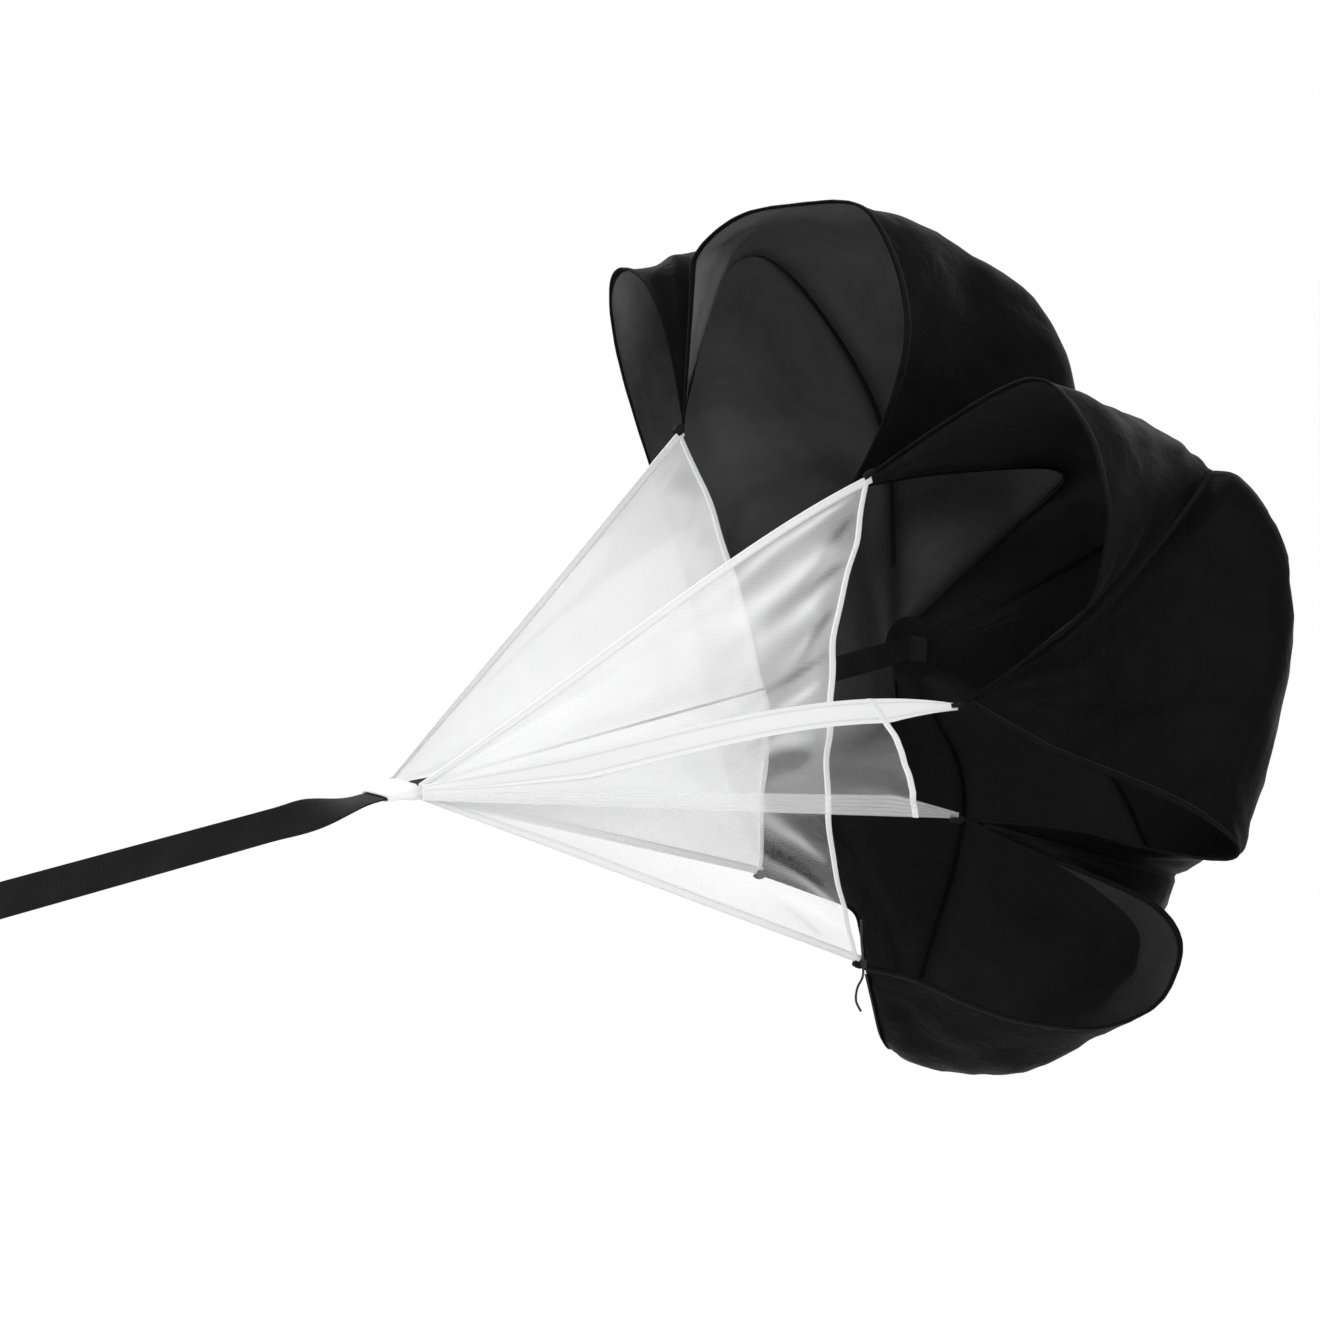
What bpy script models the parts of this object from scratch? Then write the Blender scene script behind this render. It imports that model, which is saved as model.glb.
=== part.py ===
"""Speed parachute: a six-lobed cloth canopy on three see-through mesh gores, towed by a flat strap.

The tow line runs along +X and +Z is up. The origin is where a belt ring pulls in the snap hook.
All sizes are in metres. Shares are parts of the size named beside them.
"""

import math

import bmesh
import bpy
import numpy as np
from mathutils import Matrix

# Canopy
MOUTH_RADIUS = 0.500
CROWN_SET_BACK = 0.122
CROWN_RADIUS = 0.036
CLOTH_THICKNESS = 0.0020
BINDING_WIDTH = 0.0085
BINDING_THICKNESS = 0.0034
SEAM_GAP = 0.0003
BINDING_GAP = 0.0005
PATCH_THICKNESS = 0.0024

# Mesh cone
CONE_LENGTH = 0.745
GORE_TIP_WIDTH = 0.014
MESH_THICKNESS = 0.0014
TAPE_THICKNESS = 0.0024
TAPE_WIDTH = 0.0095
TAPE_TIP_WIDTH = 0.0045
FOLD_WIDTH = 0.0270
FOLD_TIP_WIDTH = 0.0070
GORE_GAP = 0.0004
TAB_LENGTH = 0.0090
TAB_WIDTH = 0.0120
TAB_THICKNESS = 0.0022
TAB_STAND_OFF = 0.0026

# Tow strap
STRAP_WIDTH = 0.030
STRAP_THICKNESS = 0.0018
STRAP_CLEARANCE = 0.0004
TETHER_LENGTH = 0.465
LOOP_LENGTH = 0.050
STRAP_FOOT = 0.0204
TWIST_LENGTH = 0.110
TWIST_LEAD = 0.012
INNER_TWIST_LENGTH = 0.090
CROWN_TWIST_LEAD = 0.172
LEAN_LENGTH = 0.080
FLAT_TURN_DEG = 90
LEAN_TURN_DEG = 18
LOOP_NECK_DEG = 30
LOOP_NECK_SHARE = 4
FOOT_BEND_SHARE = 1.2

# Cuff where the gores are gathered on the strap
CUFF_LENGTH = 0.036
CUFF_WALL = 0.0016
CUFF_SPREAD = 0.0035
CUFF_HEIGHT_SHARES = (0.36, 0.62)
CUFF_SQUARE_SHARE = 0.6
GORE_STAND_OFF = 0.0035
NEAR_GORE_STEP = 0.0050

# Lacing that ties the lower corner
LACE_RADIUS = 0.0014

# Bolt snap
BARREL_RADIUS = 0.0058
BARREL_LENGTH = 0.0370
BARREL_EDGE = 0.0012
BORE_RADIUS = 0.0026
BOLT_RADIUS = 0.0024
BOLT_TRAVEL = 0.0090
BOLT_LENGTH = 0.0430
BOLT_EDGE_SHARE = 0.3
BORE_SPARE = 0.0010
HOOK_ROD_RADIUS = 0.0032
HOOK_REACH = 0.0250
HOOK_DROP = 0.0170
STUD_RADIUS = 0.0014
STUD_HEAD_RADIUS = 0.0034
STUD_HEAD_HEIGHT = 0.0022
STUD_RISE = 0.0030
STUD_EDGE_SHARE = 0.3
STUD_BACK_SHARE = 2.5
SLOT_CLEARANCE = 0.0004
SWIVEL_RADIUS = 0.0021
SWIVEL_HEAD_RADIUS = 0.0034
SWIVEL_HEAD_LENGTH = 0.0018
SWIVEL_WALL = 0.0028
SWIVEL_CLEARANCE = 0.0003
SWIVEL_NECK = 0.0035
EYE_ROD_RADIUS = 0.0023
EYE_DEPTH = 0.0110
EYE_SIDE_ROOM = 0.0016
EYE_CORNER_RADIUS = 0.0040
CUT_OVERRUN = 0.0020

# Counts
LOBE_COLUMNS = 22
LOBE_LEVELS = 11
GORE_COLUMNS = 6
GORE_ROWS = 12
LACE_POINTS = 24
HOOK_POINTS = 18
TWIST_STEPS = 10
LEAN_STEPS = 4
ROUND_SIDES = 20

# Along-line places worked out from the sizes
BOLT_NOSE = HOOK_ROD_RADIUS
BARREL_FRONT = BOLT_NOSE + HOOK_REACH
BARREL_BACK = BARREL_FRONT + BARREL_LENGTH
EYE_BAR = BARREL_BACK + SWIVEL_NECK + EYE_DEPTH + 2 * EYE_ROD_RADIUS
APEX = EYE_BAR + TETHER_LENGTH
MOUTH = APEX + CONE_LENGTH
CROWN = MOUTH + CROWN_SET_BACK

# The hook's centre line as (along, down) shares of its reach and drop, from the barrel to its tip
HOOK_SHARES = [
    (1.12, 0.28), (1.00, 0.42), (0.84, 0.80), (0.50, 1.00), (0.15, 0.98), (-0.14, 0.70), (-0.24, 0.32),
    (-0.15, -0.04),
]

# Canopy corners as (across, up) shares of the mouth radius, round the mouth
CORNER_SHARES = {
    "top_far": (0.508, 0.514),
    "top_mid": (0.018, 0.402),
    "top_near": (-0.304, -0.046),
    "low_near": (-0.311, -0.312),
    "low_mid": (-0.048, -0.718),
    "low_far": (0.248, -0.558),
}
CORNERS = list(CORNER_SHARES)

# Where the mesh is sewn on, as (along, across, up) shares, if that is not the corner itself
SEWN_SHARES = {
    "top_mid": (0.0114, -0.045, 0.449),
}

# Rim arches as (along, across, up) shares of the mouth radius, from each corner to the next
RIM_SHARES = {
    "far_top_lobe": [
        (0.05, 0.528, 0.802), (0.07, 0.530, 0.914), (0.09, 0.422, 1.002), (0.10, 0.270, 1.032),
        (0.10, 0.090, 1.036), (0.10, 0.004, 0.956), (0.09, -0.056, 0.826), (0.07, -0.070, 0.700),
        (0.04, -0.036, 0.545),
    ],
    "near_top_lobe": [
        (0.03, -0.148, 0.526), (0.05, -0.334, 0.644), (0.08, -0.430, 0.667), (0.10, -0.520, 0.572),
        (0.10, -0.572, 0.446), (0.09, -0.588, 0.344), (0.07, -0.560, 0.188), (0.04, -0.430, 0.062),
    ],
    "near_side_lobe": [
        (0.05, -0.368, -0.092), (0.09, -0.478, -0.148), (0.13, -0.640, -0.196), (0.16, -0.794, -0.248),
        (0.16, -0.892, -0.302), (0.14, -0.872, -0.330), (0.11, -0.730, -0.330), (0.07, -0.535, -0.308),
    ],
    "near_low_lobe": [
        (0.03, -0.455, -0.362), (0.06, -0.600, -0.396), (0.08, -0.740, -0.436), (0.10, -0.798, -0.500),
        (0.10, -0.800, -0.580), (0.10, -0.748, -0.680), (0.09, -0.620, -0.756), (0.07, -0.450, -0.778),
        (0.05, -0.310, -0.762), (0.03, -0.170, -0.728),
    ],
    "far_low_lobe": [
        (0.03, -0.014, -0.650), (0.04, 0.024, -0.604), (0.02, 0.138, -0.578),
    ],
    "far_side_lobe": [
        (0.04, 0.368, -0.404), (0.07, 0.476, -0.174), (0.12, 0.600, 0.130), (0.15, 0.730, 0.370),
        (0.16, 0.846, 0.632), (0.16, 0.880, 0.806), (0.13, 0.820, 0.872), (0.10, 0.710, 0.840),
        (0.06, 0.610, 0.710),
    ],
}
LOBES = list(RIM_SHARES)

# Seams behind each corner as (along, across, up) shares of the mouth radius
SEAM_SHARES = {
    "top_far": [(0.24, 0.575, 0.860), (0.50, 0.570, 0.850), (0.61, 0.350, 0.470)],
    "top_mid": [(0.24, -0.080, 0.420), (0.50, -0.240, 0.410), (0.56, -0.070, 0.250)],
    "top_near": [(0.24, -0.474, 0.126), (0.54, -0.600, 0.440), (0.60, -0.350, 0.260)],
    "low_near": [(0.24, -0.680, -0.420), (0.54, -0.490, -0.480), (0.58, -0.300, -0.270)],
    "low_mid": [(0.20, 0.010, -1.000), (0.50, 0.100, -0.860), (0.59, 0.060, -0.450)],
    "low_far": [(0.24, 0.360, -0.500), (0.54, 0.500, -0.500), (0.60, 0.300, -0.290)],
}

# The crest of each lobe behind its rim, in the same shares
CREST_SHARES = {
    "far_top_lobe": [(0.28, 0.040, 0.990), (0.56, -0.080, 0.810), (0.63, 0.020, 0.450)],
    "near_top_lobe": [(0.26, -0.520, 0.570), (0.56, -0.450, 0.500), (0.60, -0.250, 0.310)],
    "near_side_lobe": [(0.26, -0.850, -0.210), (0.56, -0.800, 0.110), (0.62, -0.430, 0.060)],
    "near_low_lobe": [(0.26, -0.440, -0.890), (0.56, -0.320, -0.780), (0.61, -0.190, -0.440)],
    "far_low_lobe": [(0.34, 0.170, -0.660), (0.56, 0.330, -0.720), (0.61, 0.190, -0.410)],
    "far_side_lobe": [(0.26, 0.850, 0.580), (0.56, 0.830, 0.500), (0.62, 0.470, 0.250)],
}

# How the rim's own shape fades from level to level
RIM_FADE_SHARES = {
    "far_top_lobe": [1.0, 0.35, 0.08, 0.0, 0.0],
    "near_top_lobe": [1.0, 0.35, 0.08, 0.0, 0.0],
    "near_side_lobe": [1.0, 0.35, 0.08, 0.0, 0.0],
    "near_low_lobe": [1.0, 0.35, 0.08, 0.0, 0.0],
    "far_low_lobe": [1.0, 0.35, 0.08, 0.0, 0.0],
    "far_side_lobe": [1.0, 0.50, 0.15, 0.0, 0.0],
}

# How square each lobe's arch is: a low share bulges near the seams too
ARCH_SHARES = {
    "far_top_lobe": 0.95,
    "near_top_lobe": 0.95,
    "near_side_lobe": 0.65,
    "near_low_lobe": 0.70,
    "far_low_lobe": 0.90,
    "far_side_lobe": 0.80,
}
RIM_TURN_SHARE = 0.45
CROWN_ANGLES_DEG = [42, 96, 158, 212, 262, 318, 402]

# Mesh gores: the two corners each holds
GORES = {
    "far_gore": ("top_far", "low_far"),
    "mid_gore": ("top_mid", "low_mid"),
    "near_gore": ("top_near", "low_near"),
}

# The pull on each hem as (along, across) shares of the cone length
HEM_PULL_SHARES = {
    "far_gore": (-0.040, -0.110),
    "mid_gore": (-0.150, -0.042),
    "near_gore": (0.0, -0.010),
}

# The swell of each gore half way along, and the lift of its upper edge, as shares of the cone length
SWELL_SHARES = {"far_gore": 0.027, "mid_gore": -0.007, "near_gore": -0.027}
LIFT_SHARES = {"far_gore": 0.0, "mid_gore": 0.016, "near_gore": 0.032}

# How far short of its upper and lower corner each hem stops, as shares of the gore's length
HEM_STOP_SHARES = {
    "far_gore": (0.0, 0.0),
    "mid_gore": (0.0, 0.0),
    "near_gore": (0.190, 0.088),
}
FOLD_TAPER_SHARE = 0.84
TAPE_LIMIT_SHARE = 0.36
PULL_RISE_SHARE = 1.6
LIFT_PEAK_SHARE = 6.75
TAB_WIDTH_SHARES = (1.0, 0.8, 0.35)

# The lacing as (along, across, up) shares of the mouth radius, from the hem to its loose end
LACE_SHARES = [
    (-0.060, -0.078, -0.585), (-0.050, -0.073, -0.640), (-0.030, -0.063, -0.680), (-0.016, -0.055, -0.706),
    (-0.014, -0.054, -0.740), (-0.024, -0.046, -0.768), (-0.034, -0.050, -0.796), (-0.036, -0.066, -0.818),
]

COLOURS = {
    "nylon": (0.012, 0.012, 0.013, 0.55, 0.0),
    "binding": (0.006, 0.006, 0.006, 0.70, 0.0),
    "mesh": (0.86, 0.86, 0.87, 0.80, 0.0),
    "tape": (0.93, 0.93, 0.93, 0.75, 0.0),
    "webbing": (0.008, 0.008, 0.008, 0.80, 0.0),
    "cord": (0.010, 0.010, 0.010, 0.75, 0.0),
    "steel": (0.62, 0.62, 0.64, 0.28, 1.0),
}


def clear_scene():
    for thing in list(bpy.data.objects):
        bpy.data.objects.remove(thing, do_unlink=True)


def material(slot):
    """The Principled material of one slot, made once."""
    found = bpy.data.materials.get(slot)
    if found:
        return found
    red, green, blue, roughness, metallic = COLOURS[slot]
    made = bpy.data.materials.new(slot)
    made.use_nodes = True
    shader = made.node_tree.nodes["Principled BSDF"]
    shader.inputs["Base Color"].default_value = (red, green, blue, 1.0)
    shader.inputs["Roughness"].default_value = roughness
    shader.inputs["Metallic"].default_value = metallic
    made.diffuse_color = (red, green, blue, 1.0)
    return made


def add_object(name, mesh, slot, smooth_angle=None):
    mesh.materials.append(material(slot))
    if smooth_angle is not None:
        mesh.shade_smooth()
        mesh.set_sharp_from_angle(angle=math.radians(smooth_angle))
    made = bpy.data.objects.new(name, mesh)
    bpy.context.scene.collection.objects.link(made)
    return made


def mesh_from(name, points, faces):
    """A mesh with its faces turned outwards."""
    mesh = bpy.data.meshes.new(name)
    mesh.from_pydata([tuple(p) for p in points], [], faces)
    work = bmesh.new()
    work.from_mesh(mesh)
    bmesh.ops.recalc_face_normals(work, faces=work.faces)
    if work.calc_volume(signed=True) < 0:
        bmesh.ops.reverse_faces(work, faces=work.faces)
    work.to_mesh(mesh)
    work.free()
    return mesh


def unit(vector):
    length = np.linalg.norm(vector)
    return vector / length if length else vector


def smooth_point(points, at):
    """The point at parameter `at` on a smooth curve that meets point n at parameter n."""
    last = len(points) - 1
    index = min(int(at), last - 1)
    part = at - index
    p1, p2 = points[index], points[index + 1]
    p0 = points[index - 1] if index > 0 else 2 * p1 - p2
    p3 = points[index + 2] if index + 2 <= last else 2 * p2 - p1
    a = 2 * p1
    b = p2 - p0
    c = 2 * p0 - 5 * p1 + 4 * p2 - p3
    d = 3 * p1 - p0 - 3 * p2 + p3
    return (a + b * part + c * part**2 + d * part**3) / 2


def even_curve(points, count, turn_share=0.0):
    """count + 1 points along the smooth curve through the given points, closer together where it turns."""
    fine = 24
    dense = np.array([smooth_point(points, i / fine) for i in range(fine * (len(points) - 1) + 1)])
    steps = np.diff(dense, axis=0)
    lengths = np.linalg.norm(steps, axis=1)
    ways = steps / lengths[:, None]
    bends = np.arccos(np.clip(np.sum(ways[1:] * ways[:-1], axis=1), -1.0, 1.0))
    bends = np.concatenate([bends, [0.0]])
    weights = (1 - turn_share) * lengths / lengths.sum() + turn_share * bends / bends.sum()
    reach = np.concatenate([[0.0], np.cumsum(weights)])
    wanted = np.linspace(0.0, reach[-1], count + 1)
    return np.array([[np.interp(w, reach, dense[:, k]) for k in range(3)] for w in wanted])


def grid_normals(grid):
    """Unit normals of a grid of points, from the differences between neighbours."""
    across = np.gradient(grid, axis=0)
    down = np.gradient(grid, axis=1)
    normals = np.cross(across, down)
    return normals / np.linalg.norm(normals, axis=2, keepdims=True)


def sheet_solid(name, grid, normals, thickness, slot):
    """A closed sheet about a grid of points. The thickness is one size, or one for each row across."""
    wide, deep = grid.shape[:2]
    half = np.broadcast_to(np.asarray(thickness) / 2, (wide, deep))[:, :, None]
    outer = grid + normals * half
    inner = grid - normals * half
    below = wide * deep
    faces = []
    for i in range(wide - 1):
        for j in range(deep - 1):
            a, b = i * deep + j, (i + 1) * deep + j
            faces.append((a, b, b + 1, a + 1))
            faces.append((below + a, below + a + 1, below + b + 1, below + b))
    border = [i * deep for i in range(wide)]
    border += [(wide - 1) * deep + j for j in range(1, deep)]
    border += [i * deep + deep - 1 for i in range(wide - 2, -1, -1)]
    border += [j for j in range(deep - 2, 0, -1)]
    middle = grid.reshape(-1, 3)[border]
    points = np.concatenate([outer.reshape(-1, 3), inner.reshape(-1, 3), middle])
    for k, a in enumerate(border):
        n = (k + 1) % len(border)
        b, mid_a, mid_b = border[n], 2 * below + k, 2 * below + n
        forward = a // deep + a % deep < b // deep + b % deep
        for edge_a, edge_b in ((a, b), (below + a, below + b)):
            if forward:
                faces += [(edge_a, mid_a, edge_b), (mid_a, mid_b, edge_b)]
            else:
                faces += [(edge_a, mid_a, mid_b), (edge_a, mid_b, edge_b)]
    return add_object(name, mesh_from(name, points, faces), slot, smooth_angle=40)


def ring_faces(rings, count):
    """Faces between rings of equal count, with a cap at each end."""
    faces = []
    for low in range(rings - 1):
        for k in range(count):
            n = (k + 1) % count
            faces.append((low * count + k, low * count + n, (low + 1) * count + n, (low + 1) * count + k))
    faces.append(tuple(range(count)))
    faces.append(tuple((rings - 1) * count + k for k in range(count)))
    return faces


def ring_solid(name, rings, slot, smooth_angle=35):
    """A solid through rings of equal count."""
    mesh = mesh_from(name, np.concatenate(rings), ring_faces(len(rings), len(rings[0])))
    return add_object(name, mesh, slot, smooth_angle)


def flat_faces(rings):
    """Triangles between flat sections, split alike on both wide sides so that a twist keeps its thickness."""
    faces = []
    for low in range(0, 4 * (rings - 1), 4):
        for k in range(4):
            a, b = low + k, low + (k + 1) % 4
            c, d = b + 4, a + 4
            faces += [(a, b, d), (b, c, d)] if k == 2 else [(a, b, c), (a, c, d)]
    last = 4 * (rings - 1)
    return faces + [(0, 1, 2, 3), (last, last + 1, last + 2, last + 3)]


def tube_rings(path, radius, sides):
    """Rings of a round rod along a path, carried along it without twist."""
    path = np.asarray(path, float)
    tangents = np.array([unit(t) for t in np.gradient(path, axis=0)])
    start = np.cross(tangents[0], (0.0, 1.0, 0.0))
    if np.linalg.norm(start) < 0.1:
        start = np.cross(tangents[0], (0.0, 0.0, 1.0))
    side = unit(start)
    rings = []
    for point, tangent in zip(path, tangents):
        side = unit(side - tangent * np.dot(side, tangent))
        other = np.cross(tangent, side)
        turns = [2 * math.pi * (k + 0.5) / sides for k in range(sides)]
        rings.append(np.array([point + radius * (math.cos(a) * side + math.sin(a) * other) for a in turns]))
    return rings


def turned(name, profile, slot, sides=ROUND_SIDES):
    """A solid turned about the X axis from (x, radius) pairs that start and end on the axis."""
    points = [(profile[0][0], 0.0, 0.0)]
    faces = []
    inner = profile[1:-1]
    for x, radius in inner:
        for k in range(sides):
            angle = 2 * math.pi * (k + 0.5) / sides
            points.append((x, radius * math.cos(angle), radius * math.sin(angle)))
    points.append((profile[-1][0], 0.0, 0.0))
    last = len(points) - 1
    for k in range(sides):
        n = (k + 1) % sides
        faces.append((0, 1 + k, 1 + n))
        for row in range(len(inner) - 1):
            low = 1 + row * sides
            high = low + sides
            faces.append((low + k, high + k, high + n, low + n))
        base = 1 + (len(inner) - 1) * sides
        faces.append((base + k, last, base + n))
    return mesh_from(name, points, faces)


def helper_object(name, mesh):
    """A cutter or joining shape that is not part of the object."""
    made = bpy.data.objects.new(name, mesh)
    bpy.context.scene.collection.objects.link(made)
    made.hide_render = True
    made.display_type = "WIRE"
    return made


def boolean(target, tool, operation):
    cut = target.modifiers.new(tool.name, "BOOLEAN")
    cut.operation = operation
    cut.object = tool
    cut.solver = "EXACT"


def box_mesh(name, low, high):
    corners = [(x, y, z) for x in (low[0], high[0]) for y in (low[1], high[1]) for z in (low[2], high[2])]
    faces = [(0, 1, 3, 2), (4, 6, 7, 5), (0, 4, 5, 1), (2, 3, 7, 6), (0, 2, 6, 4), (1, 5, 7, 3)]
    return mesh_from(name, corners, faces)


def corner_point(name):
    across, up = CORNER_SHARES[name]
    return np.array([MOUTH, across * MOUTH_RADIUS, up * MOUTH_RADIUS])


def share_point(shares):
    along, across, up = shares
    return np.array([MOUTH + along * MOUTH_RADIUS, across * MOUTH_RADIUS, up * MOUTH_RADIUS])


def crown_point(angle_deg):
    angle = math.radians(angle_deg)
    return np.array([CROWN, CROWN_RADIUS * math.cos(angle), CROWN_RADIUS * math.sin(angle)])


def seam_curve(corner):
    """The seam from a corner of the mouth to the crown, one point per level."""
    ways = [corner_point(corner)] + [share_point(s) for s in SEAM_SHARES[corner]]
    ways.append(crown_point(CROWN_ANGLES_DEG[CORNERS.index(corner)]))
    return [smooth_point(ways, 4 * j / LOBE_LEVELS) for j in range(LOBE_LEVELS + 1)]


def rim_curve(lobe):
    index = LOBES.index(lobe)
    start = corner_point(CORNERS[index])
    end = corner_point(CORNERS[(index + 1) % len(CORNERS)])
    ways = [start] + [share_point(s) for s in RIM_SHARES[lobe]] + [end]
    return even_curve(ways, LOBE_COLUMNS, RIM_TURN_SHARE)


def lobe_grid(lobe):
    """The cloth of one lobe as a grid: columns from corner to corner, levels from rim to crown."""
    index = LOBES.index(lobe)
    left = seam_curve(CORNERS[index])
    right = seam_curve(CORNERS[(index + 1) % len(CORNERS)])
    rim = rim_curve(lobe)
    first, last = CROWN_ANGLES_DEG[index], CROWN_ANGLES_DEG[index + 1]
    half = LOBE_COLUMNS // 2
    crest_ways = [rim[half]] + [share_point(s) for s in CREST_SHARES[lobe]]
    crest_ways.append(crown_point((first + last) / 2))
    grid = np.zeros((LOBE_COLUMNS + 1, LOBE_LEVELS + 1, 3))
    for j in range(LOBE_LEVELS + 1):
        at = 4 * j / LOBE_LEVELS
        fade = np.interp(at, range(5), RIM_FADE_SHARES[lobe])
        closing = max(0.0, at - 3) ** 3
        crest = smooth_point(crest_ways, at)
        for i in range(LOBE_COLUMNS + 1):
            grid[i, j] = lobe_offset(i, left, right, rim, j, fade, closing, (first, last))
        rise = crest - grid[half, j]
        for i in range(LOBE_COLUMNS + 1):
            grid[i, j] += rise * math.sin(math.pi * i / LOBE_COLUMNS) ** ARCH_SHARES[lobe]
    return grid


def lobe_offset(i, left, right, rim, j, fade, closing, angles):
    """A grid point before the crest's rise: between the seams, with the rim's and the crown's own shapes."""
    part = i / LOBE_COLUMNS
    between = left[j] * (1 - part) + right[j] * part
    rim_offset = rim[i] - (left[0] * (1 - part) + right[0] * part)
    round_point = crown_point(angles[0] * (1 - part) + angles[1] * part)
    crown_offset = round_point - (left[-1] * (1 - part) + right[-1] * part)
    return between + fade * rim_offset + closing * crown_offset


def seam_frames(grids, normals):
    """For each seam, the shared normal at every level."""
    shared = []
    for k in range(len(LOBES)):
        before = normals[k - 1][-1]
        after = normals[k][0]
        shared.append(np.array([unit(a + b) for a, b in zip(before, after)]))
    return shared


def set_seam_edges(grid, normal, left_normals, right_normals):
    """Moves the two edge columns half a gap in from the seams and gives them the seams' shared normals."""
    for column, inner, shared in ((0, 1, left_normals), (-1, -2, right_normals)):
        along = np.array([unit(t) for t in np.gradient(grid[column], axis=0)])
        sideways = np.array([unit(np.cross(a, n)) for a, n in zip(along, shared)])
        inward = np.sum((grid[inner] - grid[column]) * sideways, axis=1, keepdims=True)
        grid[column] += sideways * np.sign(inward) * SEAM_GAP / 2
        normal[column] = shared


def canopy():
    """Six cloth lobes, each with its rim binding, round the crown patch."""
    grids = [lobe_grid(lobe) for lobe in LOBES]
    normals = [grid_normals(grid) for grid in grids]
    shared = seam_frames(grids, normals)
    for k, lobe in enumerate(LOBES):
        grid, normal = grids[k].copy(), normals[k].copy()
        set_seam_edges(grid, normal, shared[k], shared[(k + 1) % len(LOBES)])
        lobe_pieces(lobe, grid, normal)
    crown_patch()


def lobe_pieces(lobe, grid, normal):
    away = grid[:, 1] - grid[:, 0]
    away /= np.linalg.norm(away, axis=1, keepdims=True)
    back_edge = grid[:, 0] + away * BINDING_WIDTH
    binding = np.stack([grid[:, 0], back_edge], axis=1)
    binding_normal = np.stack([normal[:, 0], normal[:, 0]], axis=1)
    sheet_solid(lobe.replace("lobe", "binding"), binding, binding_normal,
                (BINDING_THICKNESS, CLOTH_THICKNESS), "binding")
    cloth = grid.copy()
    cloth[:, 0] = back_edge + away * BINDING_GAP
    sheet_solid(lobe, cloth, normal, CLOTH_THICKNESS, "nylon")


def crown_patch():
    """The round patch where the seams meet and the strap is sewn."""
    radius = CROWN_RADIUS - CLOTH_THICKNESS / 2 - 2 * SEAM_GAP
    low, high = CROWN - PATCH_THICKNESS / 2, CROWN + PATCH_THICKNESS / 2
    mesh = turned("crown_patch", [(low, 0.0), (low, radius), (high, radius), (high, 0.0)], "nylon", 48)
    add_object("crown_patch", mesh, "nylon", smooth_angle=35)


def sewn_point(corner):
    """Where a mesh corner is sewn to the canopy."""
    if corner in SEWN_SHARES:
        return share_point(SEWN_SHARES[corner])
    return corner_point(corner)


def gore_edges(gore):
    """Tip and corner points of a gore's upper and lower edges."""
    side = 1.0 if gore == "far_gore" else -1.0
    step = NEAR_GORE_STEP if gore == "near_gore" else 0.0
    across = side * (STRAP_WIDTH / 2 + GORE_STAND_OFF + step)
    start = APEX + CUFF_LENGTH + SEAM_GAP
    tips = [np.array([start, across, GORE_TIP_WIDTH / 2]), np.array([start, across, -GORE_TIP_WIDTH / 2])]
    ends = []
    for corner, tip in zip(GORES[gore], tips):
        target = sewn_point(corner)
        ends.append(target + unit(tip - target) * (TAB_STAND_OFF + TAB_LENGTH + SEAM_GAP))
    return tips, ends


def gore_point(gore, a, v):
    """The gore's surface: a runs from its upper to its lower edge, v from its tip to its corners."""
    tips, ends = gore_edges(gore)
    tip = tips[0] * (1 - a) + tips[1] * a
    end = ends[0] * (1 - a) + ends[1] * a
    bow = math.sin(math.pi * a)
    along_share, across_share = HEM_PULL_SHARES[gore]
    pull = np.array([along_share, across_share, 0.0]) * bow * max(v, 0.0) ** PULL_RISE_SHARE
    swell = np.array([0.0, SWELL_SHARES[gore], 0.0]) * bow * 4 * v * (1 - v)
    lift = np.array([0.0, 0.0, LIFT_SHARES[gore]]) * (1 - a) * LIFT_PEAK_SHARE * v * v * (1 - v)
    return tip * (1 - v) + end * v + (pull + swell + lift) * CONE_LENGTH


def gore_width(gore, v):
    points = [gore_point(gore, a, v) for a in np.linspace(0, 1, 9)]
    return sum(np.linalg.norm(b - a) for a, b in zip(points, points[1:]))


def tape_shares(gore, v):
    """The width of an edge tape at v, and of the gap beside it, as shares of the gore's width."""
    wide = gore_width(gore, v)
    folded = gore == "near_gore"
    full = FOLD_WIDTH if folded else TAPE_WIDTH
    tape = TAPE_TIP_WIDTH + (full - TAPE_TIP_WIDTH) * min(1.0, 4 * v)
    if folded and v > FOLD_TAPER_SHARE:
        tape += (FOLD_TIP_WIDTH - full) * (v - FOLD_TAPER_SHARE) / (1 - FOLD_TAPER_SHARE)
    return min(tape / wide, TAPE_LIMIT_SHARE), GORE_GAP / wide


def gore_piece(gore, name, a_range, v_rows, columns, thickness, slot):
    """A sheet of the gore's surface between the sides that a_range gives and at the rows that v_rows gives."""
    rows = len(v_rows(0.0))
    grid = np.zeros((columns + 1, rows, 3))
    normals = np.zeros_like(grid)
    nudge = 1 / GORE_ROWS**3
    for i in range(columns + 1):
        for j, v in enumerate(v_rows(i / columns)):
            start, end = a_range(v)
            a = start + (end - start) * i / columns
            grid[i, j] = gore_point(gore, a, v)
            da = gore_point(gore, a + nudge, v) - gore_point(gore, a - nudge, v)
            dv = gore_point(gore, a, v + nudge) - gore_point(gore, a, v - nudge)
            normal = np.cross(da, dv)
            if v == 0:
                normal[0] = 0.0
            normals[i, j] = unit(normal)
    return sheet_solid(name, grid, normals, thickness, slot)


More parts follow.
